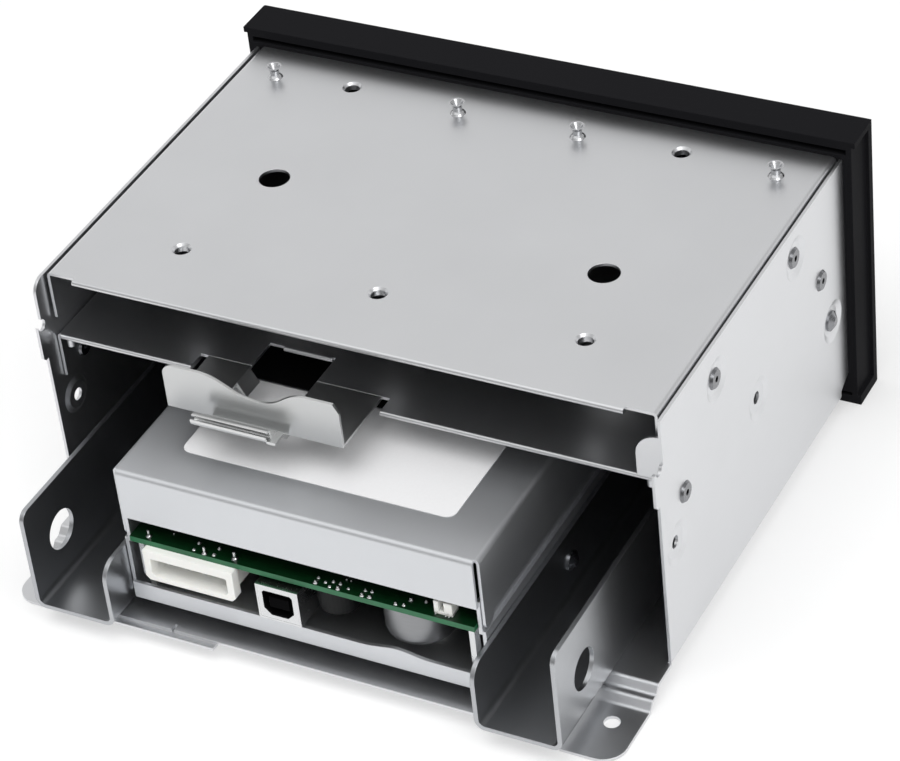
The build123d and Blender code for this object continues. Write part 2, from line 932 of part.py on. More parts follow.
# Bezel: a moulded frame with a rounded front, an outer skirt and an inner seat for the cage
seat_half = wall_outer + bezel_seat_margin
seat_low = cage_base_z - bezel_seat_margin
seat_high = cage_top + bezel_seat_margin
lower_half = fascia_width / 2 + bay_fit
lower_bottom = fascia_bottom - bay_fit / 2
lower_top = fascia_bottom + fascia_height + bay_fit / 2
with BuildPart() as front_bezel:
    with BuildSketch(front_plane(front_y)):
        with Locations((0, bezel_height / 2)):
            Rectangle(bezel_width, bezel_height)
    extrude(amount=-bezel_face)
    with BuildSketch(front_plane(front_y + bezel_face)):
        with Locations((0, bezel_height / 2)):
            Rectangle(bezel_width, bezel_height)
            Rectangle(bezel_width - 2 * bezel_skirt, bezel_height - 2 * bezel_skirt, mode=Mode.SUBTRACT)
        with Locations((0, (seat_low + seat_high) / 2)):
            Rectangle(2 * seat_half, seat_high - seat_low)
            Rectangle(
                2 * (seat_half - bezel_seat_width),
                seat_high - seat_low - 2 * bezel_seat_width,
                mode=Mode.SUBTRACT,
            )
    extrude(amount=-(bezel_depth - bezel_face))
    for side in (-1, 1):
        block(
            (
                side * flange_outer if side < 0 else flange_outer - lug_thickness,
                side * (flange_outer - lug_thickness) if side < 0 else flange_outer,
            ),
            (front_y + bezel_face, cage_front + lug_length),
            (bezel_screw_place[1] - lug_height / 2, bezel_screw_place[1] + lug_height / 2),
        )
    block(
        (-lower_half, lower_half),
        (front_y - 1, cage_front + 1),
        (lower_bottom, lower_top),
        mode=Mode.SUBTRACT,
    )
    block(
        (-upper_width / 2, upper_width / 2),
        (front_y - 1, cage_front + 1),
        (upper_bottom, upper_top),
        mode=Mode.SUBTRACT,
    )
    for side in (-1, 1):
        y, z = wall_points((bezel_screw_place,))[0]
        rod(
            (side * wall_outer, y, z),
            (-side, 0, 0),
            lug_hole_reach,
            screw_core,
            mode=Mode.SUBTRACT,
        )
    front_rim = front_bezel.faces().sort_by(Axis.Y)[0].outer_wire().edges()
    fillet(front_rim, bezel_round)
    # Shallow relief in both sides of the skirt, behind the front flange and under the top one
    for low, high in (
        (bezel_width / 2 - side_relief, bezel_width / 2 + side_relief),
        (-bezel_width / 2 - side_relief, -bezel_width / 2 + side_relief),
    ):
        block(
            (low, high),
            (front_y + side_relief_front, cage_front + side_relief),
            (side_relief_low, bezel_height - side_relief_drop),
            mode=Mode.SUBTRACT,
        )
finish(front_bezel, "front_bezel")

# Screws that hold the bezel's lugs, sunk in the pressed dishes
screw_profile = (
    (0, -screw_head),
    (screw_socket, -screw_head),
    (screw_head_radius, -screw_rim),
    (screw_head_radius, 0),
    (screw_core, 0),
    (screw_core, sheet + lug_thickness - screw_tip_gap),
    (0, sheet + lug_thickness - screw_tip_gap),
)
with BuildPart() as bezel_screws:
    for side in (-1, 1):
        y, z = wall_points((bezel_screw_place,))[0]
        turned(screw_profile, (side * (wall_outer - cover_gap), y, z), (-side, 0, 0))
finish(bezel_screws, "bezel_screws")

# Brackets: a channel on each side of the drive, with a tall outer wing
rivet_x = (bracket_inner + bracket_half) / 2
drive_screw_z = drive_bottom + drive_screw_rise
drive_screw_ys = [cage_front + back for back in drive_screw_fronts]


def bracket(side):
    """One drive bracket, for the +X side or, mirrored, for the -X side."""
    with BuildPart() as piece:
        with BuildSketch(front_plane(bracket_front)):
            with Locations((rivet_x, 0)):
                add(
                    channel_face(
                        (bracket_half - bracket_inner) / 2,
                        floor_top,
                        floor_top + bracket_outer_height,
                        bracket_sheet,
                        bracket_bend,
                    )
                )
        extrude(amount=-(rear_y - bracket_front))
        inner_top = floor_top + bracket_inner_height
        outer_top = floor_top + bracket_outer_height
        block(
            (bracket_inner - 1, bracket_inner + bracket_bend),
            (bracket_front - 1, rear_y + 1),
            (inner_top, outer_top + 1),
            mode=Mode.SUBTRACT,
        )
        inner_corner = piece.edges().filter_by(Axis.X).group_by(Axis.Y)[-1].filter_by_position(
            Axis.Z, inner_top - 0.1, inner_top + 0.1
        )
        fillet(inner_corner, 5)
        outer_corner = piece.edges().filter_by(Axis.X).group_by(Axis.Y)[-1].filter_by_position(
            Axis.Z, outer_top - 0.1, outer_top + 0.1
        )
        fillet(outer_corner, 3)
        rod(
            (bracket_half - 3 * bracket_sheet, rear_y - wing_hole_setback, wing_hole_z),
            (1, 0, 0),
            5 * bracket_sheet,
            wing_hole_radius,
            mode=Mode.SUBTRACT,
        )
        for y in drive_screw_ys:
            rod(
                (bracket_inner - 1, y, drive_screw_z),
                (1, 0, 0),
                3 * bracket_sheet,
                screw_core,
                mode=Mode.SUBTRACT,
            )
        with Locations([(rivet_x, cage_front + back, floor_top) for back in bracket_rivet_fronts]):
            Cylinder(rivet_radius, 4 * bracket_sheet, mode=Mode.SUBTRACT)
        if side < 0:
            mirror(about=Plane.YZ, mode=Mode.REPLACE)
    return piece


for side, name in ((1, "bracket_left"), (-1, "bracket_right")):
    finish(bracket(side), name)

# Rivets through the bracket floors and the cage floor
bracket_rivet_profile = (
    (0, -1.1),
    (1.6, -1.0),
    (rivet_head_radius, -0.2),
    (rivet_head_radius, 0),
    (rivet_radius, 0),
    (rivet_radius, bracket_sheet + sheet),
    (rivet_radius + 0.8, bracket_sheet + sheet),
    (rivet_radius + 0.8, bracket_sheet + sheet + 0.6),
    (0, bracket_sheet + sheet + 0.6),
)
with BuildPart() as bracket_rivets:
    for side in (-1, 1):
        for back in bracket_rivet_fronts:
            turned(
                bracket_rivet_profile,
                (side * rivet_x, cage_front + back, bracket_floor_top),
                (0, 0, -1),
            )
finish(bracket_rivets, "bracket_rivets")

# Screws from the bracket channels into the sides of the drive tray
drive_screw_profile = (
    (0, -screw_head),
    (screw_socket, -screw_head),
    (screw_head_radius, -screw_rim),
    (screw_head_radius, 0),
    (screw_core, 0),
    (screw_core, bracket_sheet + drive_fit + tray_sheet),
    (0, bracket_sheet + drive_fit + tray_sheet),
)
with BuildPart() as drive_screws:
    for side in (-1, 1):
        for y in drive_screw_ys:
            turned(
                drive_screw_profile,
                (side * (bracket_inner + bracket_sheet), y, drive_screw_z),
                (-side, 0, 0),
            )
finish(drive_screws, "drive_screws")

# Drive tray: floor, stepped side walls, and a lip along each end
lap_outer = drive_half - drive_sheet - tray_lap_fit
with BuildPart() as drive_tray:
    with BuildSketch(front_plane(drive_front)):
        add(channel_face(drive_half, drive_bottom, tray_wall_top, tray_sheet, bend))
        for side in (-1, 1):
            with Locations(
                (side * (drive_half + lap_outer - tray_sheet) / 2, tray_wall_top - tray_sheet / 2)
            ):
                Rectangle(drive_half - lap_outer + tray_sheet, tray_sheet)
            with Locations((side * (lap_outer - tray_sheet / 2), (tray_wall_top + tray_lap_top) / 2)):
                Rectangle(tray_sheet, tray_lap_top - tray_wall_top + tray_sheet / 2)
    extrude(amount=-(drive_rear - drive_sheet - tray_lap_fit - drive_front))
    lip_rear = drive_rear + tray_sheet
    block(
        (-drive_half + bend, drive_half - bend),
        (drive_rear - 2, lip_rear),
        (drive_bottom, tray_floor_top),
    )
    with BuildSketch(front_plane(drive_rear)):
        with BuildLine():
            lip_top = drive_bottom + tray_lip
            lip_half = drive_half - bend
            hump_x = can_x + can_radius / 2
            Polyline(
                (-lip_half, lip_top),
                (-lip_half, drive_bottom),
                (lip_half, drive_bottom),
                (lip_half, lip_top),
                (hump_x + 10, lip_top),
            )
            Spline(
                (hump_x + 10, lip_top),
                (hump_x, lip_top + lip_hump),
                (hump_x - 10, lip_top),
                tangents=((-1, 0), (-1, 0)),
            )
            Line((hump_x - 10, lip_top), (-lip_half, lip_top))
        make_face()
    extrude(amount=-tray_sheet)
    front_lip_z = fascia_screw_z + boss_radius
    block(
        (-drive_half + bend, drive_half - bend),
        (drive_front, drive_front + tray_sheet),
        (drive_bottom, front_lip_z),
    )
    for side in (-1, 1):
        for y in drive_screw_ys:
            rod(
                (side * (drive_half + 1), y, drive_screw_z),
                (-side, 0, 0),
                3,
                screw_core,
                mode=Mode.SUBTRACT,
            )
        rod(
            (side * fascia_screw_x, drive_front - 1, fascia_screw_z),
            (0, 1, 0),
            3,
            fascia_screw_core,
            mode=Mode.SUBTRACT,
        )
finish(drive_tray, "drive_tray")

# Drive cover: top, two side flanges with a tab at the rear, and a rear flange
with BuildPart() as drive_cover:
    with BuildSketch(front_plane(drive_front)):
        add(channel_face(drive_half, drive_top, cover_side_low, drive_sheet, bend))
    extrude(amount=-(drive_rear - bend - drive_front))
    with BuildSketch(Plane.YZ.offset(-drive_half + bend)):
        with BuildLine():
            FilletPolyline(
                (drive_rear - 3 * bend, drive_top),
                (drive_rear, drive_top),
                (drive_rear, cover_rear_low),
                radius=bend,
            )
            Line((drive_rear, cover_rear_low), (drive_rear - drive_sheet, cover_rear_low))
            FilletPolyline(
                (drive_rear - drive_sheet, cover_rear_low),
                (drive_rear - drive_sheet, drive_top - drive_sheet),
                (drive_rear - 3 * bend, drive_top - drive_sheet),
                radius=bend - drive_sheet,
            )
            Line(
                (drive_rear - 3 * bend, drive_top - drive_sheet),
                (drive_rear - 3 * bend, drive_top),
            )
        make_face()
    extrude(amount=2 * (drive_half - bend))
    for side in (-1, 1):
        with BuildSketch(Plane.YZ.offset(side * (drive_half - drive_sheet / 2))):
            with BuildLine():
                Polyline(
                    (drive_rear - bend - cover_tab_length, cover_side_low + 1),
                    (drive_rear - bend - cover_tab_length, cover_side_low),
                    (drive_rear - bend - cover_tab_length + 1.5, cover_tab_low),
                    (drive_rear - bend - 0.5, cover_tab_low),
                    (drive_rear - bend, cover_tab_low + 1),
                    (drive_rear - bend, cover_side_low + 1),
                    close=True,
                )
            make_face()
        extrude(amount=drive_sheet / 2, both=True)
finish(drive_cover, "drive_cover")

# Circuit board
standoff_x = drive_half - tray_sheet - standoff_inset - standoff_radius
standoff_places = [
    (side * standoff_x, y)
    for side in (-1, 1)
    for y in (board_front + 2 * standoff_radius, board_rear - 2 * standoff_radius)
]
with BuildPart() as circuit_board:
    with BuildSketch(Plane.XY.offset(board_bottom)):
        with Locations((0, (board_front + board_rear) / 2)):
            Rectangle(board_width, board_depth)
    extrude(amount=board_thickness)
finish(circuit_board, "circuit_board")

# Standoffs between the tray floor and the board
with BuildPart() as board_standoffs:
    with BuildSketch(Plane.XY.offset(tray_floor_top)):
        with Locations(standoff_places):
            RegularPolygon(standoff_radius, 6)
    extrude(amount=board_bottom - tray_floor_top)
finish(board_standoffs, "board_standoffs")

# Power connector: a shrouded four-pin header under the board
power_rear = board_rear + power_overhang
power_low = board_bottom - power_height
with BuildPart() as power_connector:
    with BuildSketch(front_plane(power_rear - power_depth)):
        with Locations((power_centre, board_bottom - power_height / 2)):
            Rectangle(power_width, power_height)
    extrude(amount=-power_depth)
    low_edges = power_connector.edges().filter_by(Axis.Y).group_by(Axis.Z)[0]
    chamfer(low_edges, 1.2)
    with BuildSketch(front_plane(power_rear - power_cavity_depth)):
        cavity_half = power_width / 2 - power_wall
        cavity_low = power_low + power_wall
        cavity_high = board_bottom - power_wall
        with BuildLine():
            Polyline(
                (power_centre - cavity_half, cavity_high),
                (power_centre - cavity_half, cavity_low + 2),
                (power_centre - cavity_half + 2, cavity_low),
                (power_centre + cavity_half - 2, cavity_low),
                (power_centre + cavity_half, cavity_low + 2),
                (power_centre + cavity_half, cavity_high),
                close=True,
            )
        make_face()
    extrude(amount=-power_cavity_depth, mode=Mode.SUBTRACT)
    for index in range(4):
        rod(
            (
                power_centre + (index - 1.5) * power_pitch,
                power_rear - power_depth - 1,
                (cavity_low + cavity_high) / 2,
            ),
            (0, 1, 0),
            power_depth,
            power_pin_radius,
            mode=Mode.SUBTRACT,
        )
finish(power_connector, "power_connector")

# Power pins
with BuildPart() as power_pins:
    for index in range(4):
        rod(
            (
                power_centre + (index - 1.5) * power_pitch,
                power_rear - power_depth,
                (cavity_low + cavity_high) / 2,
            ),
            (0, 1, 0),
            power_depth - 2,
            power_pin_radius,
        )
finish(power_pins, "power_pins")

# Square data socket: metal shell with two legs to the board
usb_rear = board_rear + usb_overhang
usb_high = board_bottom - usb_drop
usb_low = usb_high - usb_height
usb_middle = (usb_low + usb_high) / 2
with BuildPart() as data_socket_shell:
    with BuildSketch(front_plane(usb_rear - usb_depth)):
        with Locations((usb_centre, usb_middle)):
            Rectangle(usb_width, usb_height)
            Rectangle(usb_width - 2 * usb_sheet, usb_height - 2 * usb_sheet, mode=Mode.SUBTRACT)
    extrude(amount=-usb_depth)
    for side in (-1, 1):
        edge = usb_centre + side * (usb_width / 2 - usb_sheet / 2)
        block(
            (edge - usb_sheet / 2, edge + usb_sheet / 2),
            (usb_rear - usb_depth / 2 - 1, usb_rear - usb_depth / 2 + 1),
            (usb_high - usb_sheet, board_bottom),
        )
finish(data_socket_shell, "data_socket_shell")

# Moulded insert of the data socket, with its tongue
with BuildPart() as data_socket_insert:
    with BuildSketch(front_plane(usb_rear - usb_depth)):
        with Locations((usb_centre, usb_middle)):
            Rectangle(usb_width - 2 * usb_sheet, usb_height - 2 * usb_sheet)
    extrude(amount=-(usb_depth - usb_insert_setback))
    with BuildSketch(front_plane(usb_rear - usb_depth + usb_cavity_start)):
        opening = usb_opening / 2
        with BuildLine():
            Polyline(
                (usb_centre - opening, usb_middle + opening - 0.4),
                (usb_centre - opening, usb_middle - opening + 2.2),
                (usb_centre - opening + 1.8, usb_middle - opening + 0.4),
                (usb_centre + opening - 1.8, usb_middle - opening + 0.4),
                (usb_centre + opening, usb_middle - opening + 2.2),
                (usb_centre + opening, usb_middle + opening - 0.4),
                close=True,
            )
        make_face()
        with Locations((usb_centre, usb_middle)):
            Rectangle(usb_tongue_width, usb_tongue_height, mode=Mode.SUBTRACT)
    extrude(amount=-usb_depth, mode=Mode.SUBTRACT)
finish(data_socket_insert, "data_socket_insert")

# Ejector motor can, hung under the board
with BuildPart() as eject_motor:
    with Locations((can_x, board_rear - can_radius - 2, board_bottom)):
        Cylinder(can_radius, can_height, align=(Align.CENTER, Align.CENTER, Align.MAX))
    fillet(eject_motor.edges().group_by(Axis.Z)[0], 1.6)
finish(eject_motor, "eject_motor")

# Small header on the board
with BuildPart() as board_header:
    with BuildSketch(Plane.XY.offset(board_top)):
        with Locations((header_x, board_rear - 3)):
            Rectangle(header_width, 3.4)
    extrude(amount=header_height)
    with BuildSketch(Plane.XY.offset(board_top + header_height)):
        with Locations((header_x, board_rear - 3)):
            Rectangle(header_width - 1.4, 2)
    extrude(amount=-2.6, mode=Mode.SUBTRACT)
finish(board_header, "board_header")

# Chips, coils and capacitors on both faces of the board
chip_places = (
    (28.0, -14.0, 12.0, 12.0, 1.4),
    (2.0, -12.0, 16.0, 16.0, 1.2),
    (-26.0, -14.0, 8.0, 10.0, 1.6),
    (38.0, -5.0, 3.2, 2.4, 2.2),
    (16.0, -3.0, 2.0, 1.6, 1.4),
    (11.0, -3.2, 2.0, 1.6, 1.0),
    (-7.0, -3.0, 4.4, 2.2, 1.8),
    (-15.0, -3.4, 4.8, 2.6, 2.0),
    (-24.0, -3.0, 2.4, 1.8, 1.2),
    (-30.0, -3.2, 2.4, 1.8, 1.6),
)
with BuildPart() as board_parts:
    for x, back, width, length, height in chip_places:
        with BuildSketch(Plane.XY.offset(board_top)):
            with Locations((x, board_rear + back)):
                Rectangle(width, length)
        extrude(amount=height)
    with Locations((coil_x, board_rear - 7, board_bottom)):
        Cylinder(coil_radius, coil_height, align=(Align.CENTER, Align.CENTER, Align.MAX))
finish(board_parts, "board_parts")

# Docking connector between the board and the cartridge
dock_y = cradle_rear
with BuildPart() as docking_connector:
    block(
        (-dock_width / 2, dock_width / 2),
        (dock_y - dock_length / 2, dock_y + dock_length / 2),
        (board_bottom - dock_height, board_bottom),
    )
    block(
        (-dock_width / 2 + 1.5, dock_width / 2 - 1.5),
        (dock_y - dock_length / 2 - 1, dock_y - dock_length / 2 + 5),
        (board_bottom - dock_height + 1.5, board_bottom - dock_height + 5.5),
        mode=Mode.SUBTRACT,
    )
    block(
        (-dock_width / 2 + 3, dock_width / 2 - 3),
        (dock_y - dock_length / 2 + 1, dock_y - dock_length / 2 + 5.5),
        (board_bottom - dock_height + 2.8, board_bottom - dock_height + 4.0),
    )
finish(docking_connector, "docking_connector")

# Cartridge cradle: a moulded channel with guides, feet and a rear bulkhead
slot_half = ejector_neck / 2 + ejector_fit
pusher_rear = cradle_rear - cradle_wall - ejector_fit
with BuildPart() as cartridge_cradle:
    with BuildSketch(front_plane(cradle_front)):
        add(
            channel_face(
                cradle_outer,
                cradle_floor_top - cradle_floor,
                cradle_top,
                cradle_wall,
                cradle_wall + 0.3,
            )
        )
    extrude(amount=-(cradle_rear - cradle_front))
    with BuildSketch(Plane.XY.offset(cradle_floor_top - 0.1)):
        for side in (-1, 1):
            with BuildLine():
                inner = side * cradle_inner
                tip = side * (cradle_inner - guide_depth)
                start = cage_front + guide_front
                Polyline(
                    (inner + side, start),
                    (inner, start),
                    (tip, start + 3 * guide_depth),
                    (tip, cradle_rear),
                    (inner + side, cradle_rear),
                    close=True,
                )
            make_face()
    extrude(amount=guide_top - cradle_floor_top)
    block(
        (-cradle_inner - 0.5, cradle_inner + 0.5),
        (cradle_rear - cradle_wall, cradle_rear),
        (cradle_floor_top - 0.5, cradle_top),
    )
    block(
        (-dock_width / 2 - dock_fit, dock_width / 2 + dock_fit),
        (cradle_rear - 2 * cradle_wall, cradle_rear + 1),
        (board_bottom - dock_height - dock_fit, board_bottom + dock_fit),
        mode=Mode.SUBTRACT,
    )
    for side in (-1, 1):
        block(
            (side * foot_x - foot_width / 2, side * foot_x + foot_width / 2),
            (cradle_front + 8, cradle_rear - 8),
            (tray_floor_top, cradle_floor_top - cradle_floor / 2),
        )
    block(
        (ejector_x - slot_half, ejector_x + slot_half),
        (
            pusher_rear - ejector_pusher_length - ejector_travel - 2 * ejector_fit,
            pusher_rear + ejector_fit,
        ),
        (tray_floor_top, cradle_floor_top + 0.5),
        mode=Mode.SUBTRACT,
    )
finish(cartridge_cradle, "cartridge_cradle")

# Ejector slide: a bar under the cradle, a neck through its slot and a pusher in the bay
bar_low = tray_floor_top + ejector_fit
pusher_front = pusher_rear - ejector_pusher_length
with BuildPart() as ejector_slide:
    block(
        (ejector_x - ejector_bar / 2, ejector_x + ejector_bar / 2),
        (pusher_rear + 18 - ejector_bar_length, pusher_rear + 18),
        (bar_low, bar_low + ejector_thickness),
    )
    block(
        (ejector_x - ejector_neck / 2, ejector_x + ejector_neck / 2),
        (pusher_front, pusher_rear),
        (bar_low + ejector_thickness / 2, cradle_floor_top + ejector_fit + 1),
    )
    with BuildSketch(Plane.YZ.offset(ejector_x - ejector_pusher_width / 2)):
        with BuildLine():
            pusher_low = cradle_floor_top + ejector_fit
            Polyline(
                (pusher_front, pusher_low),
                (pusher_rear, pusher_low),
                (pusher_rear, pusher_low + ejector_pusher_height),
                (pusher_front + 1, pusher_low + ejector_pusher_height),
                (pusher_front, pusher_low + ejector_pusher_height - 1.5),
                close=True,
            )
        make_face()
    extrude(amount=ejector_pusher_width)
finish(ejector_slide, "ejector_slide")

# Drive fascia: front plate with the cartridge slot, skirt, bosses and pin lugs
fascia_middle = fascia_bottom + fascia_height / 2
pin_half = slot_width / 2 + pin_lug_width
light_places = [(button_x + side * light_pitch / 2, light_z) for side in (-1, 1)]
post_places = [
    (
        button_x + side * (front_board_width / 2 - post_inset),
        front_board_z + side * (post_inset - front_board_height / 2),
    )
    for side in (-1, 1)
]
with BuildPart() as drive_fascia:
    with BuildSketch(front_plane(fascia_face)):
        with Locations((0, fascia_middle)):
            Rectangle(fascia_width, fascia_height)
    extrude(amount=-fascia_plate)
    with BuildSketch(front_plane(fascia_back)):
        with Locations((0, fascia_middle)):
            Rectangle(fascia_width, fascia_height)
            Rectangle(
                fascia_width - 2 * fascia_skirt, fascia_height - 2 * fascia_skirt, mode=Mode.SUBTRACT
            )
    extrude(amount=-(drive_front - fascia_back))
    fillet(drive_fascia.faces().sort_by(Axis.Y)[0].outer_wire().edges(), 0.8)
    with BuildSketch(front_plane(fascia_face - 1)):
        with Locations((0, (slot_bottom + slot_top) / 2)):
            RectangleRounded(slot_width, slot_top - slot_bottom, 0.6)
        with Locations((button_x, button_z)):
            RectangleRounded(button_width + 2 * button_fit, button_height + 2 * button_fit, 1.2)
        with Locations(light_places):
            SlotOverall(light_width, light_height)
        with Locations((pinhole_x, button_z)):
            Circle(0.9)
    extrude(amount=-(fascia_plate + 1.5), mode=Mode.SUBTRACT)
    for side in (-1, 1):
        rod(
            (side * fascia_screw_x, fascia_back - 0.5, fascia_screw_z),
            (0, 1, 0),
            drive_front - fascia_back + 0.5,
            boss_radius,
        )
        rod(
            (side * fascia_screw_x, fascia_back + 2, fascia_screw_z),
            (0, 1, 0),
            drive_front - fascia_back,
            fascia_screw_core,
            mode=Mode.SUBTRACT,
        )
        low, high = sorted((side * slot_width / 2, side * pin_half))
        block(
            (low, high),
            (fascia_back - 0.5, hinge_y + 2 * pin_radius),
            (hinge_z - 2 * pin_radius, hinge_z + 2 * pin_radius),
        )
    for x, z in post_places:
        rod((x, fascia_back - 0.5, z), (0, 1, 0), front_board_setback + 0.5, post_radius)
    rod((-pin_half - 1, hinge_y, hinge_z), (1, 0, 0), 2 * pin_half + 2, pin_radius, mode=Mode.SUBTRACT)
finish(drive_fascia, "drive_fascia")

# Screws through the tray's front lip into the fascia
fascia_screw_profile = (
    (0, -1.2),
    (1.2, -1.2),
    (fascia_screw_head, -0.6),
    (fascia_screw_head, 0),
    (fascia_screw_core, 0),
    (fascia_screw_core, 6),
    (0, 6),
)
with BuildPart() as fascia_screws:
    for side in (-1, 1):
        turned(
            fascia_screw_profile,
            (side * fascia_screw_x, drive_front + tray_sheet, fascia_screw_z),
            (0, -1, 0),
        )
finish(fascia_screws, "fascia_screws")

# Cartridge door with its hinge barrel and stiffening ribs
door_half = slot_width / 2 - door_fit
door_front = fascia_face + door_recess
with BuildPart() as cartridge_door:
    with BuildSketch(front_plane(door_front)):
        with Locations((0, (slot_bottom + slot_top) / 2)):
            RectangleRounded(2 * door_half, slot_top - slot_bottom - 2 * door_fit, 0.5)
    extrude(amount=-door_thickness)
    rod((-door_half, hinge_y, hinge_z), (1, 0, 0), 2 * door_half, barrel_radius)
    for x in (-door_rib_pitch, 0, door_rib_pitch):
        block(
            (x - door_rib / 2, x + door_rib / 2),
            (door_front + door_thickness / 2, door_front + door_thickness + 0.8),
            (slot_bottom + 4, hinge_z - barrel_radius / 2),
        )
    rod(
        (-door_half - 1, hinge_y, hinge_z),
        (1, 0, 0),
        2 * door_half + 2,
        pin_radius + pin_fit,
        mode=Mode.SUBTRACT,
    )
finish(cartridge_door, "cartridge_door")

# Hinge pin of the door
with BuildPart() as door_pin:
    rod((-pin_half, hinge_y, hinge_z), (1, 0, 0), 2 * pin_half, pin_radius)
finish(door_pin, "door_pin")

# Eject button: cap, retaining flange and stem
button_front = fascia_face - button_proud
flange_front = fascia_back + button_seat
switch_face = fascia_back + front_board_setback
plunger_tip = switch_face - switch_height - switch_plunger_height
with BuildPart() as eject_button:
    with BuildSketch(front_plane(button_front)):
        with Locations((button_x, button_z)):
            RectangleRounded(button_width, button_height, 1.0)
    extrude(amount=-(flange_front - button_front))
    fillet(eject_button.faces().sort_by(Axis.Y)[0].outer_wire().edges(), 0.5)
    with BuildSketch(front_plane(flange_front)):
        with Locations((button_x, button_z)):
            Rectangle(button_width + 2 * button_flange, button_height + 2 * button_flange)
    extrude(amount=-button_flange)
    rod(
        (button_x, flange_front, button_z),
        (0, 1, 0),
        plunger_tip - button_lost_motion - button_travel - flange_front,
        button_stem,
    )
finish(eject_button, "eject_button")

# Front board behind the fascia
with BuildPart() as front_board:
    with BuildSketch(front_plane(switch_face)):
        with Locations((button_x, front_board_z)):
            Rectangle(front_board_width, front_board_height)
    extrude(amount=-front_board_thickness)
finish(front_board, "front_board")

# Push switch on the front board
with BuildPart() as eject_switch:
    block(
        (button_x - switch_size / 2, button_x + switch_size / 2),
        (switch_face - switch_height, switch_face),
        (button_z - switch_size / 2, button_z + switch_size / 2),
    )
    rod(
        (button_x, switch_face - switch_height, button_z),
        (0, -1, 0),
        switch_plunger_height,
        switch_plunger,
    )
finish(eject_switch, "eject_switch")

# Light pipes between the fascia and the front board
with BuildPart() as light_pipes:
    with BuildSketch(front_plane(fascia_face)):
        with Locations(light_places):
            SlotOverall(light_width, light_height)
    extrude(amount=-(switch_face - fascia_face))
finish(light_pipes, "light_pipes")

# Blank panel of the upper bay, hooked behind the bezel
blank_half = upper_width / 2 - bay_fit / 2
blank_low = upper_bottom + bay_fit / 2
blank_high = upper_top - bay_fit / 2
with BuildPart() as upper_bay_blank:
    with BuildSketch(front_plane(fascia_face)):
        with Locations((0, (blank_low + blank_high) / 2)):
            Rectangle(2 * blank_half, blank_high - blank_low)
    extrude(amount=-(cage_front - fascia_face))
    with BuildSketch(front_plane(fascia_face + blank_plate)):
        with Locations((0, (blank_low + blank_high) / 2)):
            Rectangle(
                2 * (blank_half - fascia_skirt), blank_high - blank_low - 2 * fascia_skirt
            )
    extrude(amount=-bezel_depth, mode=Mode.SUBTRACT)
    fillet(upper_bay_blank.faces().sort_by(Axis.Y)[0].outer_wire().edges(), 0.8)
    for side in (-1, 1):
        low, high = sorted((side * (blank_half - 0.5), side * (blank_half + blank_hook)))
        block(
            (low, high),
            (front_y + bezel_face, front_y + bezel_face + 1.5),
            (blank_low + 3, blank_high - 3),
        )
finish(upper_bay_blank, "upper_bay_blank")
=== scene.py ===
"""Finishes, small fittings and studio of a removable disk drive in its bay cage."""

import math

import bmesh
import bpy
from bpy.props import FloatProperty, FloatVectorProperty, PointerProperty
from mathutils import Matrix, Vector


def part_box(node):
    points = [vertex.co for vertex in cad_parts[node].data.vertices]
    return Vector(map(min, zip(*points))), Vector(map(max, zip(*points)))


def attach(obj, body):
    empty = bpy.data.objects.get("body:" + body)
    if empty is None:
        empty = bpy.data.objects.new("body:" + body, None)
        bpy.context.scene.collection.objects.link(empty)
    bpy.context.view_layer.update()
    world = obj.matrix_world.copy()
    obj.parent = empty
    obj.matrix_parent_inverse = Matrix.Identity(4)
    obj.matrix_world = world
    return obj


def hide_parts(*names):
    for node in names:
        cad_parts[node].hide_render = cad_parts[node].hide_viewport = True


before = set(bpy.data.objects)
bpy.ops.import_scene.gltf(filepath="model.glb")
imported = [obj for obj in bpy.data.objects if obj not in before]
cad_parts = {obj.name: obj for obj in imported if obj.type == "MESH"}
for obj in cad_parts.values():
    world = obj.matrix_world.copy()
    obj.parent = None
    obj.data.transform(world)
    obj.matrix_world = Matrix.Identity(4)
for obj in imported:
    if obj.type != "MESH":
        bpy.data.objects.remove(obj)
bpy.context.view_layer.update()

bl_info = {
    "name": "Removable Disk Drive Finish",
    "version": (1, 0, 0),
    "blender": (4, 5, 0),
    "location": "View3D > Sidebar > Disk Drive",
    "description": "Finishes, fittings, lighting and camera of a removable disk drive in its cage",
    "category": "Object",
}

MM = 0.001

# Sizes and places in millimetres that the CAD boxes don't give
COIL_PLACE = (-6.5, 66.8)
COIL_RADIUS = 5.4
COIL_HEIGHT = 9.6
CAN_PLACE = (-27.8, 63.9)
CAN_RADIUS = 9.3
CAN_FOOT = 14.9
CAN_RIM = 0.15
LEG_PITCH = 1.27
LEG_HALF = 0.22
PIN_COUNT = 4
PIN_SETBACK = 1.3
INLET_HEIGHT = 9.6
INLET_LIP = 3.0
INLET_DEPTH = 11.9
WIRE_HALF = 0.2
BEAD_RADIUS = 1.5
BEAD_WALL = 0.62
CATCH_SHEET = 0.8
CATCH_WIDTH = 21.5
CATCH_BARE = 2.4
SOCKET_HIGH = 25.9
SOCKET_HALF = (4.25, 3.8)

# Solder cones are this much wider than their holes, and their pins this much thinner
SOLDER_SPREAD = 1.15
SOLDER_PIN = 0.45

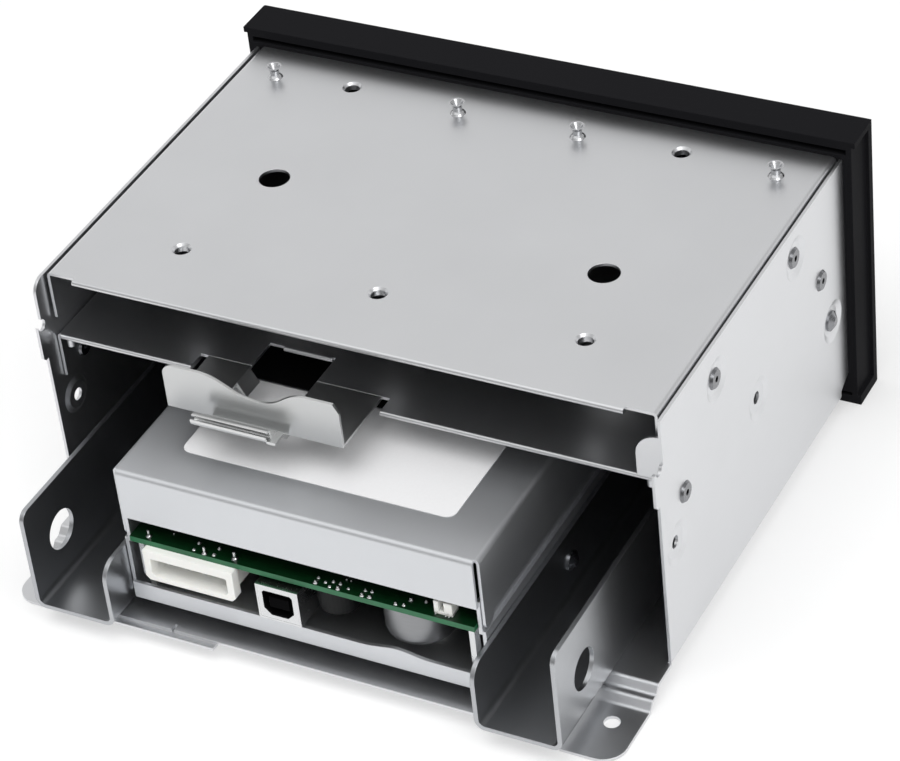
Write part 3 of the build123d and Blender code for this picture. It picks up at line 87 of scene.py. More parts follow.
# Solder joints near the board's rear edge: x, distance from that edge, foot, pin height
JOINTS = (
    (43.6, 1.7, 0.75, 2.0),
    (27.0, 0.9, 0.70, 2.1),
    (18.8, 1.8, 0.90, 2.2),
    (30.2, 3.8, 0.55, 0.6),
    (30.2, 1.1, 0.45, 0.5),
    (24.3, 3.7, 0.55, 0.6),
    (24.4, 1.1, 0.50, 0.6),
    (-4.4, 2.8, 0.45, 0.6),
    (-4.5, 1.0, 0.65, 0.8),
    (-6.8, 1.9, 0.45, 0.5),
    (-8.5, 0.8, 0.45, 0.5),
    (-8.6, 2.8, 0.50, 0.6),
    (-10.6, 2.7, 0.50, 0.7),
    (-10.8, 0.9, 0.65, 0.9),
    (-13.2, 1.8, 0.40, 0.5),
    (-17.5, 2.7, 0.45, 0.7),
    (-19.3, 2.8, 0.45, 0.7),
    (-17.5, 0.8, 0.60, 0.9),
    (-19.6, 0.9, 0.60, 0.7),
    (-26.7, 0.9, 0.50, 0.7),
    (-28.8, 1.2, 0.45, 0.7),
    (-29.6, 3.5, 0.65, 0.8),
    (-33.4, 4.2, 0.55, 0.7),
)

# Chips and small parts on the board: x, distance from its rear edge, width, length, height
CHIPS = (
    (28.0, 14.0, 12.0, 12.0, 1.4),
    (2.0, 17.0, 16.0, 16.0, 1.2),
    (-26.0, 14.0, 8.0, 10.0, 1.6),
    (38.0, 6.2, 3.2, 2.4, 2.2),
    (14.5, 6.4, 2.0, 1.6, 1.4),
    (-12.0, 6.0, 4.4, 2.2, 1.8),
    (-36.0, 7.4, 2.4, 1.8, 1.2),
)

# Studio: how bright mirrors see the room at the horizon and overhead, the lamp patch and the
# plain light that everything else gets from the background
ROOM_LOW = 0.26
ROOM_HIGH = 0.6
PATCH_GLOW = 0.8
SOFT_FILL = 0.5
PATCH_TOWARDS = (0.41, -0.68, 0.61)
FAR_SIDE = (0.51, -0.86, 0.0)
NEAR_SIDE = (-0.51, 0.86, 0.0)
FLOOR_HALF = 3.0
FLOOR_DROP = 0.0002

# Lamps: name, place, target, size, watts, and whether mirrors show it
LAMPS = (
    ("lamp_overhead", (0.1, 0.25, 1.1), (0, 0, 0.04), 1.2, 2.9, True),
    ("lamp_shadow", (0.1, 0.25, 1.1), (0, 0, 0.04), 0.9, 8.1, False),
    ("lamp_side", (-0.8, 0.5, 0.95), (0, 0.02, 0.04), 0.8, 5.0, True),
)

# Camera sensor and the shift that frames the object as the photograph does
SENSOR_WIDTH = 36.0
SENSOR_SHIFT = (0.01158, 0.00203)


def linear(hex_colour):
    """Linear RGB of an sRGB hex value."""
    channels = (int(hex_colour[at : at + 2], 16) / 255 for at in (1, 3, 5))
    return tuple(c / 12.92 if c <= 0.04045 else ((c + 0.055) / 1.055) ** 2.4 for c in channels)


def colour(name, hex_colour, description):
    """Colour property with an sRGB default."""
    return FloatVectorProperty(
        name=name,
        description=description,
        subtype="COLOR",
        size=3,
        min=0,
        max=1,
        default=linear(hex_colour),
    )


def length(name, millimetres, description):
    """Length property with a default in millimetres."""
    return FloatProperty(
        name=name, description=description, unit="LENGTH", default=millimetres * MM, precision=5
    )


class SheetSettings(bpy.types.PropertyGroup):
    cage: colour("Cage", "#D9DADC", "Zinc-plated sheet of the cage, its cover and the shelf")
    # Darker than the cage: partly the brackets' own plating, partly painted shade for the inside of
    # the cage where they lie.
    bracket_tone_and_shade: colour("Brackets", "#B4B6B9", "Plated sheet of the two channel brackets")
    drive: colour("Drive case", "#DADCDF", "Plated sheet of the drive's tray and cover")
    spring: colour("Spring latch", "#CFD0D0", "Bright spring steel of the latch")
    catch: colour("Catch", "#DEDFDF", "Burnished spring steel of the latch's catch")
    # Painted shade: the rivets' dark tone stands in for the shade of the dished recesses they sit
    # in.
    rivet_painted_shade: colour("Rivets", "#808184", "Dull zinc plating of the cage's rivets")
    # Painted shade: the screws' dark tone stands in for the shade of the dished recesses they sit
    # in.
    screw: colour("Screws", "#8E8F92", "Dark zinc plating of the screws")
    fastener: colour("Fasteners", "#C4C5C7", "Nickel plating of studs, pins and the latch's rivets")
    roughness: FloatProperty(
        name="Roughness", description="Roughness of the plated sheet", default=0.33, min=0, max=1
    )


class MouldingSettings(bpy.types.PropertyGroup):
    bezel: colour("Bezel", "#1A1A1C", "Black ABS of the bezel and the blank")
    fascia: colour("Fascia", "#202022", "Black ABS of the drive's front")
    door: colour("Door", "#2B2B2F", "Charcoal ABS of the cartridge door and the button")
    cradle: colour("Cradle", "#232326", "Black moulding of the cartridge cradle")
    nylon: colour("Nylon", "#F4F4F0", "Natural nylon of the plug housings")
    socket: colour("Socket", "#0B0B0C", "Black moulding of the data socket")


class BoardSettings(bpy.types.PropertyGroup):
    mask: colour("Solder mask", "#05240F", "Green solder mask of the circuit boards")
    laminate: colour("Laminate", "#14613A", "Cut edge of the board laminate")
    chip: colour("Chips", "#0F1011", "Moulded epoxy of the chips")
    tin: colour("Tin", "#DADBDC", "Tinned pins and solder")
    can: colour("Can", "#97989A", "Drawn aluminium of the motor can")
    guide: colour("Light guide", "#C9E8CE", "Clear acrylic of the two light guides")


class LabelSettings(bpy.types.PropertyGroup):
    paper: colour("Paper", "#E9E9EA", "Coated white label on the drive")
    half_width: length("Half width", 38.0, "Half of the label's width")
    rear: length("Rear edge", 61.2, "Place of the label's rear edge")
    front: length("Front edge", 29.4, "Place of the label's front edge")
    corner: length("Corner", 2.6, "Radius of the label's corners")
    thickness: length("Thickness", 0.12, "Thickness of the label")
    # Painted shade: a black sheet on the drive's top in front of the label stands in for the shade
    # under the shelf. These four settings give its colour and size.
    painted_shade_sheet: colour("Film", "#0C0C0D", "Black film on the drive's top in front of the label")
    shade_sheet_half_width: length("Film half width", 46.0, "Half of the film's width")
    shade_sheet_front: length("Film front edge", -58.0, "Place of the film's front edge")
    shade_sheet_rear: length("Film rear edge", 28.8, "Place of the film's rear edge")


class StudioSettings(bpy.types.PropertyGroup):
    floor: colour("Floor", "#F2F2F2", "Pale studio floor")
    lens: FloatProperty(
        name="Lens", description="Focal length", unit="CAMERA", default=137.68, min=10
    )
    azimuth: FloatProperty(
        name="Azimuth",
        description="Camera's direction round the object from its front",
        subtype="ANGLE",
        default=math.radians(211.057),
    )
    elevation: FloatProperty(
        name="Elevation",
        description="Camera's height over the horizon",
        subtype="ANGLE",
        default=math.radians(37.302),
    )
    roll: FloatProperty(
        name="Roll",
        description="Camera's roll about its own axis",
        subtype="ANGLE",
        default=math.radians(-6.849),
    )
    place: FloatVectorProperty(
        name="Place",
        description="Camera's place",
        subtype="TRANSLATION",
        unit="LENGTH",
        size=3,
        default=(-0.36638, 0.60485, 0.57437),
    )


class DiskDriveSettings(bpy.types.PropertyGroup):
    sheet: PointerProperty(type=SheetSettings)
    moulding: PointerProperty(type=MouldingSettings)
    board: PointerProperty(type=BoardSettings)
    label: PointerProperty(type=LabelSettings)
    studio: PointerProperty(type=StudioSettings)


def settings():
    """All the settings of this finish."""
    return bpy.context.scene.disk_drive


def add_node(tree, kind, sockets=None, **choices):
    """Adds a node, makes its choices and fills its sockets with values or links."""
    made = tree.nodes.new(kind)
    for name, value in choices.items():
        setattr(made, name, value)
    for socket, value in (sockets or {}).items():
        if isinstance(value, bpy.types.NodeSocket):
            tree.links.new(value, made.inputs[socket])
        else:
            made.inputs[socket].default_value = value
    return made


def start_material(name, sockets):
    """New node material with one Principled shader. Returns the material, tree and shader."""
    material = bpy.data.materials.new(name)
    material.use_nodes = True
    tree = material.node_tree
    tree.nodes.clear()
    shader = add_node(tree, "ShaderNodeBsdfPrincipled", sockets)
    add_node(tree, "ShaderNodeOutputMaterial", {"Surface": shader.outputs["BSDF"]})
    return material, tree, shader


def rgba(rgb, gain=1.0):
    """Four-channel colour, made lighter or darker by a gain."""
    return (*(min(1.0, channel * gain) for channel in rgb), 1.0)


def per_metre(millimetres):
    """Scale of a texture whose features are this many millimetres apart."""
    return 1 / (millimetres * MM)


def soft_edges(tree, radius):
    """Rounded edge normals, and how near each point is to an edge.

    Stamped and moulded edges are never razor sharp: they catch the light in a fine line.
    """
    round_off = add_node(tree, "ShaderNodeBevel", {"Radius": radius * MM}, samples=4)
    true = add_node(tree, "ShaderNodeNewGeometry").outputs["True Normal"]
    along = add_node(
        tree,
        "ShaderNodeVectorMath",
        {0: round_off.outputs["Normal"], 1: true},
        operation="DOT_PRODUCT",
    )
    near = add_node(
        tree,
        "ShaderNodeMapRange",
        {"Value": along.outputs["Value"], "From Min": 0.995, "From Max": 0.8},
    )
    return round_off.outputs["Normal"], near.outputs["Result"]


def skin(tree, shader, height, strength, depth, gloss=None, normal=None):
    """Gives a shader a relief of this depth in mm, and a roughness that wanders with it."""
    if gloss:
        spread = add_node(
            tree, "ShaderNodeMapRange", {"Value": height, "To Min": gloss[0], "To Max": gloss[1]}
        )
        tree.links.new(spread.outputs["Result"], shader.inputs["Roughness"])
    relief = {"Height": height, "Strength": strength, "Distance": depth * MM}
    if normal:
        relief["Normal"] = normal
    bump = add_node(tree, "ShaderNodeBump", relief)
    tree.links.new(bump.outputs["Normal"], shader.inputs["Normal"])


def mottled(tree, shader, place, size, detail, tone, dark, light):
    """Lets the base colour wander between two gains of a tone, in spots of this size in mm.

    Returns the wandering value.
    """
    spots = add_node(
        tree, "ShaderNodeTexNoise", {"Vector": place, "Scale": per_metre(size), "Detail": detail}
    )
    tint = add_node(
        tree,
        "ShaderNodeMix",
        {"Factor": spots.outputs["Fac"], "A": rgba(tone, dark), "B": rgba(tone, light)},
        data_type="RGBA",
    )
    tree.links.new(tint.outputs["Result"], shader.inputs["Base Color"])
    return spots.outputs["Fac"]


def plated_sheet(name, tone, roughness, grain=0.35, cloud=28.0, edge_highlight_gain=1.12):
    """Rolled and zinc-plated steel sheet.

    The eye sees a satin grey with very faint rolling lines from front to rear, and slow clouds
    where the plating took unevenly. Near edges the base colour is made lighter by a gain: a
    painted highlight for the light that the edges catch.
    """
    material, tree, shader = start_material(name, {"Metallic": 1.0})
    place = add_node(tree, "ShaderNodeTexCoord").outputs["Object"]
    along = add_node(tree, "ShaderNodeMapping", {"Vector": place, "Scale": (1.0, 0.02, 1.0)})
    lines = add_node(
        tree,
        "ShaderNodeTexNoise",
        {"Vector": along.outputs["Vector"], "Scale": per_metre(grain), "Detail": 2.0},
    )
    clouds = add_node(
        tree, "ShaderNodeTexNoise", {"Vector": place, "Scale": per_metre(cloud), "Detail": 3.0}
    )
    edge_normal, near_edge = soft_edges(tree, 0.22)
    tint = add_node(
        tree,
        "ShaderNodeMix",
        {"Factor": clouds.outputs["Fac"], "A": rgba(tone, 0.96), "B": rgba(tone, 1.04)},
        data_type="RGBA",
    )
    # Painted highlight: near edges the base colour is lightened by a gain, for the light that the
    # edges catch.
    painted_edge_highlight = add_node(
        tree,
        "ShaderNodeMix",
        {"Factor": near_edge, "A": tint.outputs["Result"], "B": rgba(tone, edge_highlight_gain)},
        data_type="RGBA",
    )
    tree.links.new(painted_edge_highlight.outputs["Result"], shader.inputs["Base Color"])
    spread = add_node(
        tree,
        "ShaderNodeMapRange",
        {
            "Value": lines.outputs["Fac"],
            "From Min": 0.3,
            "From Max": 0.7,
            "To Min": roughness - 0.03,
            "To Max": roughness,
        },
    )
    drift = add_node(
        tree,
        "ShaderNodeMath",
        {0: clouds.outputs["Fac"], 1: 0.06, 2: spread.outputs["Result"]},
        operation="MULTIPLY_ADD",
    )
    tree.links.new(drift.outputs["Value"], shader.inputs["Roughness"])
    skin(tree, shader, lines.outputs["Fac"], 0.03, 0.006, normal=edge_normal)
    return material


def wavy_metal(name, tone, size, gloss, strength, depth):
    """Metal whose skin has soft dents or waves of this size in mm, and an uneven gloss."""
    material, tree, shader = start_material(name, {"Metallic": 1.0, "Base Color": rgba(tone)})
    place = add_node(tree, "ShaderNodeTexCoord").outputs["Object"]
    wave = add_node(
        tree, "ShaderNodeTexNoise", {"Vector": place, "Scale": per_metre(size), "Detail": 2.0}
    )
    skin(tree, shader, wave.outputs["Fac"], strength, depth, gloss)
    return material


def plated_fastener(name, tone):
    """Steel of rivets, studs and screws, plated in a barrel.

    The eye sees a bright or grey metal with soft dents from the barrel.
    """
    return wavy_metal(name, tone, 0.7, (0.16, 0.36), 0.2, 0.04)


def tinned_metal(name, tone):
    """Hot-tinned copper and steel, and bright solder.

    The eye sees a bright metal with a slightly wavy skin.
    """
    return wavy_metal(name, tone, 1.4, (0.14, 0.34), 0.15, 0.05)


def textured_abs(name, tone, roughness=0.42, grain=0.28, gloss=0.006, rim_highlight_gain=1.6):
    """Injection-moulded ABS from a spark-eroded mould.

    The eye sees a black satin with a fine even sparkle. The real grain is near 0.05 mm and
    is drawn coarser here so that it shows. Near edges the base colour is made lighter by a
    gain: a painted highlight for the light that the edges catch.
    """
    material, tree, shader = start_material(name, {"IOR": 1.52, "Specular IOR Level": gloss})
    place = add_node(tree, "ShaderNodeTexCoord").outputs["Object"]
    sparks = add_node(
        tree, "ShaderNodeTexNoise", {"Vector": place, "Scale": per_metre(grain), "Detail": 3.0}
    )
    flow = add_node(
        tree, "ShaderNodeTexNoise", {"Vector": place, "Scale": per_metre(24.0), "Detail": 1.0}
    )
    tint = add_node(
        tree,
        "ShaderNodeMix",
        {"Factor": sparks.outputs["Fac"], "A": rgba(tone, 0.85), "B": rgba(tone, 1.2)},
        data_type="RGBA",
    )
    edge_normal, near_edge = soft_edges(tree, 0.3)
    # Painted highlight: near edges the base colour is lightened by a gain, for the light that the
    # edges catch.
    painted_edge_highlight = add_node(
        tree,
        "ShaderNodeMix",
        {"Factor": near_edge, "A": tint.outputs["Result"], "B": rgba(tone, rim_highlight_gain)},
        data_type="RGBA",
    )
    tree.links.new(painted_edge_highlight.outputs["Result"], shader.inputs["Base Color"])
    spread = add_node(
        tree,
        "ShaderNodeMapRange",
        {"Value": flow.outputs["Fac"], "To Min": roughness - 0.06, "To Max": roughness + 0.06},
    )
    tree.links.new(spread.outputs["Result"], shader.inputs["Roughness"])
    skin(tree, shader, sparks.outputs["Fac"], 0.3, 0.03, normal=edge_normal)
    return material


def natural_nylon(name, tone):
    """Unfilled nylon of plug housings, moulded without pigment.

    The eye sees a warm milky white that lets a little light through at thin walls.
    """
    material, tree, shader = start_material(
        name,
        {
            "Roughness": 0.38,
            "IOR": 1.53,
            "Subsurface Weight": 0.12,
            "Subsurface Radius": (0.6 * MM, 0.5 * MM, 0.4 * MM),
            "Subsurface Scale": 1.0,
        },
    )
    place = add_node(tree, "ShaderNodeTexCoord").outputs["Object"]
    mottled(tree, shader, place, 5.0, 2.0, tone, 0.93, 1.04)
    dimples = add_node(
        tree, "ShaderNodeTexNoise", {"Vector": place, "Scale": per_metre(0.5), "Detail": 2.0}
    )
    skin(tree, shader, dimples.outputs["Fac"], 0.1, 0.02)
    return material


def solder_masked_board(name, mask, laminate):
    """Glass-epoxy laminate under a green solder mask.

    The eye sees a glossy dark green with barely lighter tracks on the faces, and a cut edge
    where light in the laminate shows as a clearer green.
    """
    material, tree, shader = start_material(name, {"IOR": 1.5, "Roughness": 0.3})
    coordinates = add_node(tree, "ShaderNodeTexCoord")
    place = coordinates.outputs["Object"]
    tracks = add_node(
        tree,
        "ShaderNodeTexBrick",
        {
            "Vector": place,
            "Color1": rgba(mask, 0.75),
            "Color2": rgba(mask, 1.1),
            "Mortar": rgba(mask, 1.35),
            "Scale": per_metre(4.0),
            "Mortar Size": 0.03,
            "Mortar Smooth": 0.3,
            "Brick Width": 1.6,
            "Row Height": 0.3,
        },
        offset=0.37,
        squash=0.6,
    )
    side = add_node(tree, "ShaderNodeSeparateXYZ", {"Vector": coordinates.outputs["Normal"]})
    flat = add_node(tree, "ShaderNodeMath", {0: side.outputs["Z"]}, operation="ABSOLUTE")
    face = add_node(
        tree, "ShaderNodeMath", {0: flat.outputs["Value"], 1: 0.5}, operation="GREATER_THAN"
    )
    fibre = add_node(
        tree, "ShaderNodeTexNoise", {"Vector": place, "Scale": per_metre(6.0), "Detail": 3.0}
    )
    cut = add_node(
        tree,
        "ShaderNodeMix",
        {"Factor": fibre.outputs["Fac"], "A": rgba(laminate, 0.5), "B": rgba(laminate, 1.5)},
        data_type="RGBA",
    )
    tint = add_node(
        tree,
        "ShaderNodeMix",
        {
            "Factor": face.outputs["Value"],
            "A": cut.outputs["Result"],
            "B": tracks.outputs["Color"],
        },
        data_type="RGBA",
    )
    tree.links.new(tint.outputs["Result"], shader.inputs["Base Color"])
    skin(tree, shader, tracks.outputs["Fac"], 0.2, 0.02)
    return material


def drawn_aluminium(name, tone):
    """Deep-drawn aluminium can.

    The eye sees a soft satin with fine lines round the can from the drawing die.
    """
    material, tree, shader = start_material(name, {"Metallic": 1.0})
    place = add_node(tree, "ShaderNodeTexCoord").outputs["Object"]
    along = add_node(tree, "ShaderNodeMapping", {"Vector": place, "Scale": (0.05, 0.05, 1.0)})
    rings = mottled(tree, shader, along.outputs["Vector"], 0.3, 2.0, tone, 0.9, 1.05)
    spread = add_node(
        tree, "ShaderNodeMapRange", {"Value": rings, "To Min": 0.3, "To Max": 0.46}
    )
    tree.links.new(spread.outputs["Result"], shader.inputs["Roughness"])
    return material


def epoxy_package(name, tone):
    """Transfer-moulded epoxy of chips and coils.

    The eye sees a dull near-black with a fine sandy grain.
    """
    material, tree, shader = start_material(
        name, {"IOR": 1.55, "Roughness": 0.55, "Specular IOR Level": 0.2}
    )
    place = add_node(tree, "ShaderNodeTexCoord").outputs["Object"]
    sand = mottled(tree, shader, place, 0.2, 3.0, tone, 0.7, 1.4)
    skin(tree, shader, sand, 0.25, 0.03)
    return material


def clear_light_guide(name, tone):
    """Moulded acrylic light guide with a frosted end.

    The eye sees a milky clear window with a faint green tint.
    """
    material, tree, shader = start_material(
        name, {"IOR": 1.49, "Roughness": 0.3, "Transmission Weight": 0.35}
    )
    place = add_node(tree, "ShaderNodeTexCoord").outputs["Object"]
    mottled(tree, shader, place, 0.4, 2.0, tone, 0.85, 1.05)
    return material


def coated_paper(name, tone):
    """Thermal-transfer label paper with a semi-gloss coat.

    The eye sees a clean white with a very slight fibre unevenness.
    """
    material, tree, shader = start_material(
        name, {"IOR": 1.48, "Roughness": 0.42, "Coat Weight": 0.15, "Coat Roughness": 0.25}
    )
    place = add_node(tree, "ShaderNodeTexCoord").outputs["Object"]
    fibre = mottled(tree, shader, place, 0.8, 4.0, tone, 0.965, 1.02)
    skin(tree, shader, fibre, 0.08, 0.02)
    return material


def painted_shade_material(name, tone):
    """Matt black sheet of painted shade, laid on the drive's top where it lies in shade under the
    shelf.

    The eye sees an even deep black with a fine orange-peel skin.
    """
    material, tree, shader = start_material(
        name,
        {"Base Color": rgba(tone), "IOR": 1.5, "Roughness": 0.5, "Specular IOR Level": 0.1},
    )
    place = add_node(tree, "ShaderNodeTexCoord").outputs["Object"]
    peel = add_node(
        tree, "ShaderNodeTexNoise", {"Vector": place, "Scale": per_metre(0.6), "Detail": 2.0}
    )
    skin(tree, shader, peel.outputs["Fac"], 0.15, 0.02, (0.4, 0.6))
    return material


def smooth(builder, angle=0.6):
    """Shades the rounded faces smoothly and keeps edges over this angle sharp."""
    for face in builder.faces:
        face.smooth = True
    for edge in builder.edges:
        edge.smooth = edge.is_manifold and edge.calc_face_angle() < angle


def dress(material, *names):
    """Puts a finish on CAD pieces."""
    for name in names:
        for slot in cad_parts[name].material_slots:
            slot.material = material


def new_piece(name, mesh_builder, material, body, slot, *replaced):
    """Object from a finished bmesh, riding on a body, with its finish."""
    mesh = bpy.data.meshes.new(name)
    mesh_builder.to_mesh(mesh)
    mesh_builder.free()
    piece = bpy.data.objects.new(name, mesh)
    bpy.context.scene.collection.objects.link(piece)
    mesh.materials.append(material)
    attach(piece, body)
    if replaced:
        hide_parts(*replaced)
    return piece


def bar(builder, low, high, soft, segments=2):
    """Adds a bar with softened edges between two corners in millimetres."""
    low, high = Vector(low) * MM, Vector(high) * MM
    grow = Matrix.Diagonal((*(high - low), 1.0))
    place = Matrix.Translation((low + high) / 2) @ grow
    made = bmesh.ops.create_cube(builder, size=1.0, matrix=place)
    edges = list({edge for vert in made["verts"] for edge in vert.link_edges})
    bmesh.ops.bevel(
        builder,
        geom=edges,
        offset=soft * MM,
        segments=segments,
        profile=0.5,
        affect="EDGES",
        material=-1,
    )


def turned(builder, place, profile, steps, turn=Matrix()):
    """Adds a shape turned on a lathe. The profile's pairs are radius and height in mm."""
    known = set(builder.verts)
    line = [builder.verts.new((radius * MM, 0, height * MM)) for radius, height in profile]
    edges = [builder.edges.new(pair) for pair in zip(line, line[1:])]
    bmesh.ops.spin(
        builder,
        geom=line + edges,
        cent=(0, 0, 0),
        axis=(0, 0, 1),
        angle=math.tau,
        steps=steps,
        use_merge=True,
    )
    made = [vert for vert in builder.verts if vert not in known]
    bmesh.ops.transform(
        builder, verts=made, matrix=Matrix.Translation(Vector(place) * MM) @ turn.to_4x4()
    )


def pull(builder, faces, way):
    """Pulls faces along a vector in metres and leaves walls behind them."""
    made = bmesh.ops.extrude_face_region(builder, geom=faces)
    raised = [item for item in made["geom"] if isinstance(item, bmesh.types.BMVert)]
    bmesh.ops.translate(builder, verts=raised, vec=way)


def ring(builder, outer, inner, rear, depth):
    """Adds an upright ring between two outlines of x and z in mm, from its rear face."""
    edges = []
    for loop in (outer, inner):
        line = [builder.verts.new((x * MM, (rear - depth) * MM, z * MM)) for x, z in loop]
        edges += [builder.edges.new(pair) for pair in zip(line, line[1:] + line[:1])]
    made = bmesh.ops.triangle_fill(builder, use_beauty=True, edges=edges)
    faces = [item for item in made["geom"] if isinstance(item, bmesh.types.BMFace)]
    pull(builder, faces, (0, depth * MM, 0))


def outline(low, high, low_cut, high_cut):
    """Rectangle of x and z with its lower and upper corners cut off."""
    return (
        (low[0] + low_cut, low[1]),
        (high[0] - low_cut, low[1]),
        (high[0], low[1] + low_cut),
        (high[0], high[1] - high_cut),
        (high[0] - high_cut, high[1]),
        (low[0] + high_cut, high[1]),
        (low[0], high[1] - high_cut),
        (low[0], low[1] + low_cut),
    )


def face_outwards(builder):
    """Turns all faces outwards."""
    bmesh.ops.recalc_face_normals(builder, faces=builder.faces[:])


def close_poles(builder):
    """Merges the doubled points of turned shapes and turns all faces outwards."""
    bmesh.ops.remove_doubles(builder, verts=builder.verts[:], dist=0.001 * MM)
    face_outwards(builder)


class DISKDRIVE_OT_sheet(bpy.types.Operator):
    """Finish of the cage, shelf, brackets, drive case, latch and fasteners"""

    bl_idname = "disk_drive.sheet"
    bl_label = "Sheet Metal"

    def execute(self, context):
        choice = settings().sheet
        cage = plated_sheet("zinc_plated_sheet", choice.cage, choice.roughness)
        dress(cage, "cage_base", "cage_cover", "divider_shelf")
        # The brackets' darker tone is partly their own plating and partly painted shade for the
        # cage's inside.
        bracket_tone_and_shade = plated_sheet("plated_bracket_sheet_and_painted_shade", choice.bracket_tone_and_shade, choice.roughness - 0.03)
        dress(bracket_tone_and_shade, "bracket_left", "bracket_right")
        drive = plated_sheet("plated_drive_sheet", choice.drive, choice.roughness + 0.12)
        dress(drive, "drive_tray", "drive_cover")
        spring = plated_sheet("rolled_spring_steel", choice.spring, 0.3, grain=0.5, cloud=16.0)
        dress(spring, "release_latch", "latch_catch")
        # Painted shade: the rivets are made dark so that they read as shaded recesses.
        rivet_painted_shade = plated_fastener("rivet_steel_painted_shade", choice.rivet_painted_shade)
        dress(rivet_painted_shade, "cover_rivets", "shelf_rivets")
        # Painted shade: the screws are made dark so that they read as shaded recesses.
        screw = plated_fastener("screw_steel_painted_shade", choice.screw)
        dress(screw, "bezel_screws", "drive_screws", "bracket_rivets")
        fastener = plated_fastener("nickel_plated_steel", choice.fastener)
        dress(fastener, "hanger_studs", "catch_rivets", "fascia_screws", "door_pin")
        return {"FINISHED"}


class DISKDRIVE_OT_mouldings(bpy.types.Operator):
    """Finish of the bezel, fascia, door, button, cradle and plug housings"""

    bl_idname = "disk_drive.mouldings"
    bl_label = "Mouldings"

    def execute(self, context):
        choice = settings().moulding
        bezel = textured_abs("moulded_bezel_abs", choice.bezel)
        dress(bezel, "front_bezel", "upper_bay_blank")
        fascia = textured_abs(
            "moulded_fascia_abs", choice.fascia, roughness=0.38, grain=0.2, gloss=0.25
        )
        dress(fascia, "drive_fascia")
        door = textured_abs("moulded_door_abs", choice.door, roughness=0.3, grain=0.16, gloss=0.35)
        dress(door, "cartridge_door", "eject_button")
        cradle = textured_abs("moulded_cradle_abs", choice.cradle, roughness=0.5, grain=0.4)
        dress(cradle, "cartridge_cradle")
        socket = textured_abs("moulded_socket_polyester", choice.socket, roughness=0.45, grain=0.2)
        dress(socket, "data_socket_insert", "docking_connector")
        nylon = natural_nylon("natural_moulded_nylon", choice.nylon)
        dress(nylon, "power_connector", "board_header", "ejector_slide")
        return {"FINISHED"}


class DISKDRIVE_OT_boards(bpy.types.Operator):
    """Finish of the circuit boards and what stands on them"""

    bl_idname = "disk_drive.boards"
    bl_label = "Boards"

    def execute(self, context):
        choice = settings().board
        board = solder_masked_board("solder_masked_laminate", choice.mask, choice.laminate)
        dress(board, "circuit_board", "front_board")
        chip = epoxy_package("moulded_epoxy", choice.chip)
        dress(chip, "board_parts", "eject_switch")
        tin = tinned_metal("tinned_steel", choice.tin)
        dress(tin, "power_pins", "data_socket_shell", "board_standoffs")
        can = drawn_aluminium("drawn_aluminium_can", choice.can)
        dress(can, "eject_motor")
        guide = clear_light_guide("frosted_acrylic", choice.guide)
        dress(guide, "light_pipes")
        return {"FINISHED"}


class DISKDRIVE_OT_joints(bpy.types.Operator):
    """Solder joints on the circuit board, with the pins in them"""

    bl_idname = "disk_drive.joints"
    bl_label = "Solder Joints"

    def execute(self, context):
        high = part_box("circuit_board")[1] / MM
        solder = bmesh.new()
        for x, back, hole, rise in JOINTS:
            foot = hole * SOLDER_SPREAD
            wire = foot * SOLDER_PIN
            turned(
                solder,
                (x, high[1] - back, high[2]),
                (
                    (0, rise),
                    (wire * 0.8, rise - 0.05),
                    (wire, rise - 0.2),
                    (wire * 1.1, 0.4),
                    (foot * 0.7, 0.16),
                    (foot, 0.03),
                    (foot, -0.05),
                    (0, -0.05),
                ),
                12,
            )
        close_poles(solder)
        tin = tinned_metal("bright_solder", settings().board.tin)
        new_piece("solder_joints", solder, tin, "chassis", "tinned_metal")
        return {"FINISHED"}


class DISKDRIVE_OT_can(bpy.types.Operator):
    """Drawn can of the motor under the circuit board"""

    bl_idname = "disk_drive.can"
    bl_label = "Motor Can"

    def execute(self, context):
        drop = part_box("eject_motor")[1].z / MM - CAN_FOOT
        can = bmesh.new()
        turned(
            can,
            (*CAN_PLACE, CAN_FOOT),
            (
                (0, 0.25),
                (CAN_RADIUS - 3.4, 0.25),
                (CAN_RADIUS - 3.0, 0),
                (CAN_RADIUS - 2.2, 0),
                (CAN_RADIUS - 1.1, 0.3),
                (CAN_RADIUS - 0.3, 1.1),
                (CAN_RADIUS, 2.2),
                (CAN_RADIUS, drop - 2.2),
                (CAN_RADIUS + CAN_RIM, drop - 2.0),
                (CAN_RADIUS + CAN_RIM, drop),
                (0, drop),
            ),
            64,
        )
        close_poles(can)
        smooth(can)
        metal = drawn_aluminium("drawn_can", settings().board.can)
        new_piece("motor_can", can, metal, "chassis", "can_aluminium", "eject_motor")
        return {"FINISHED"}


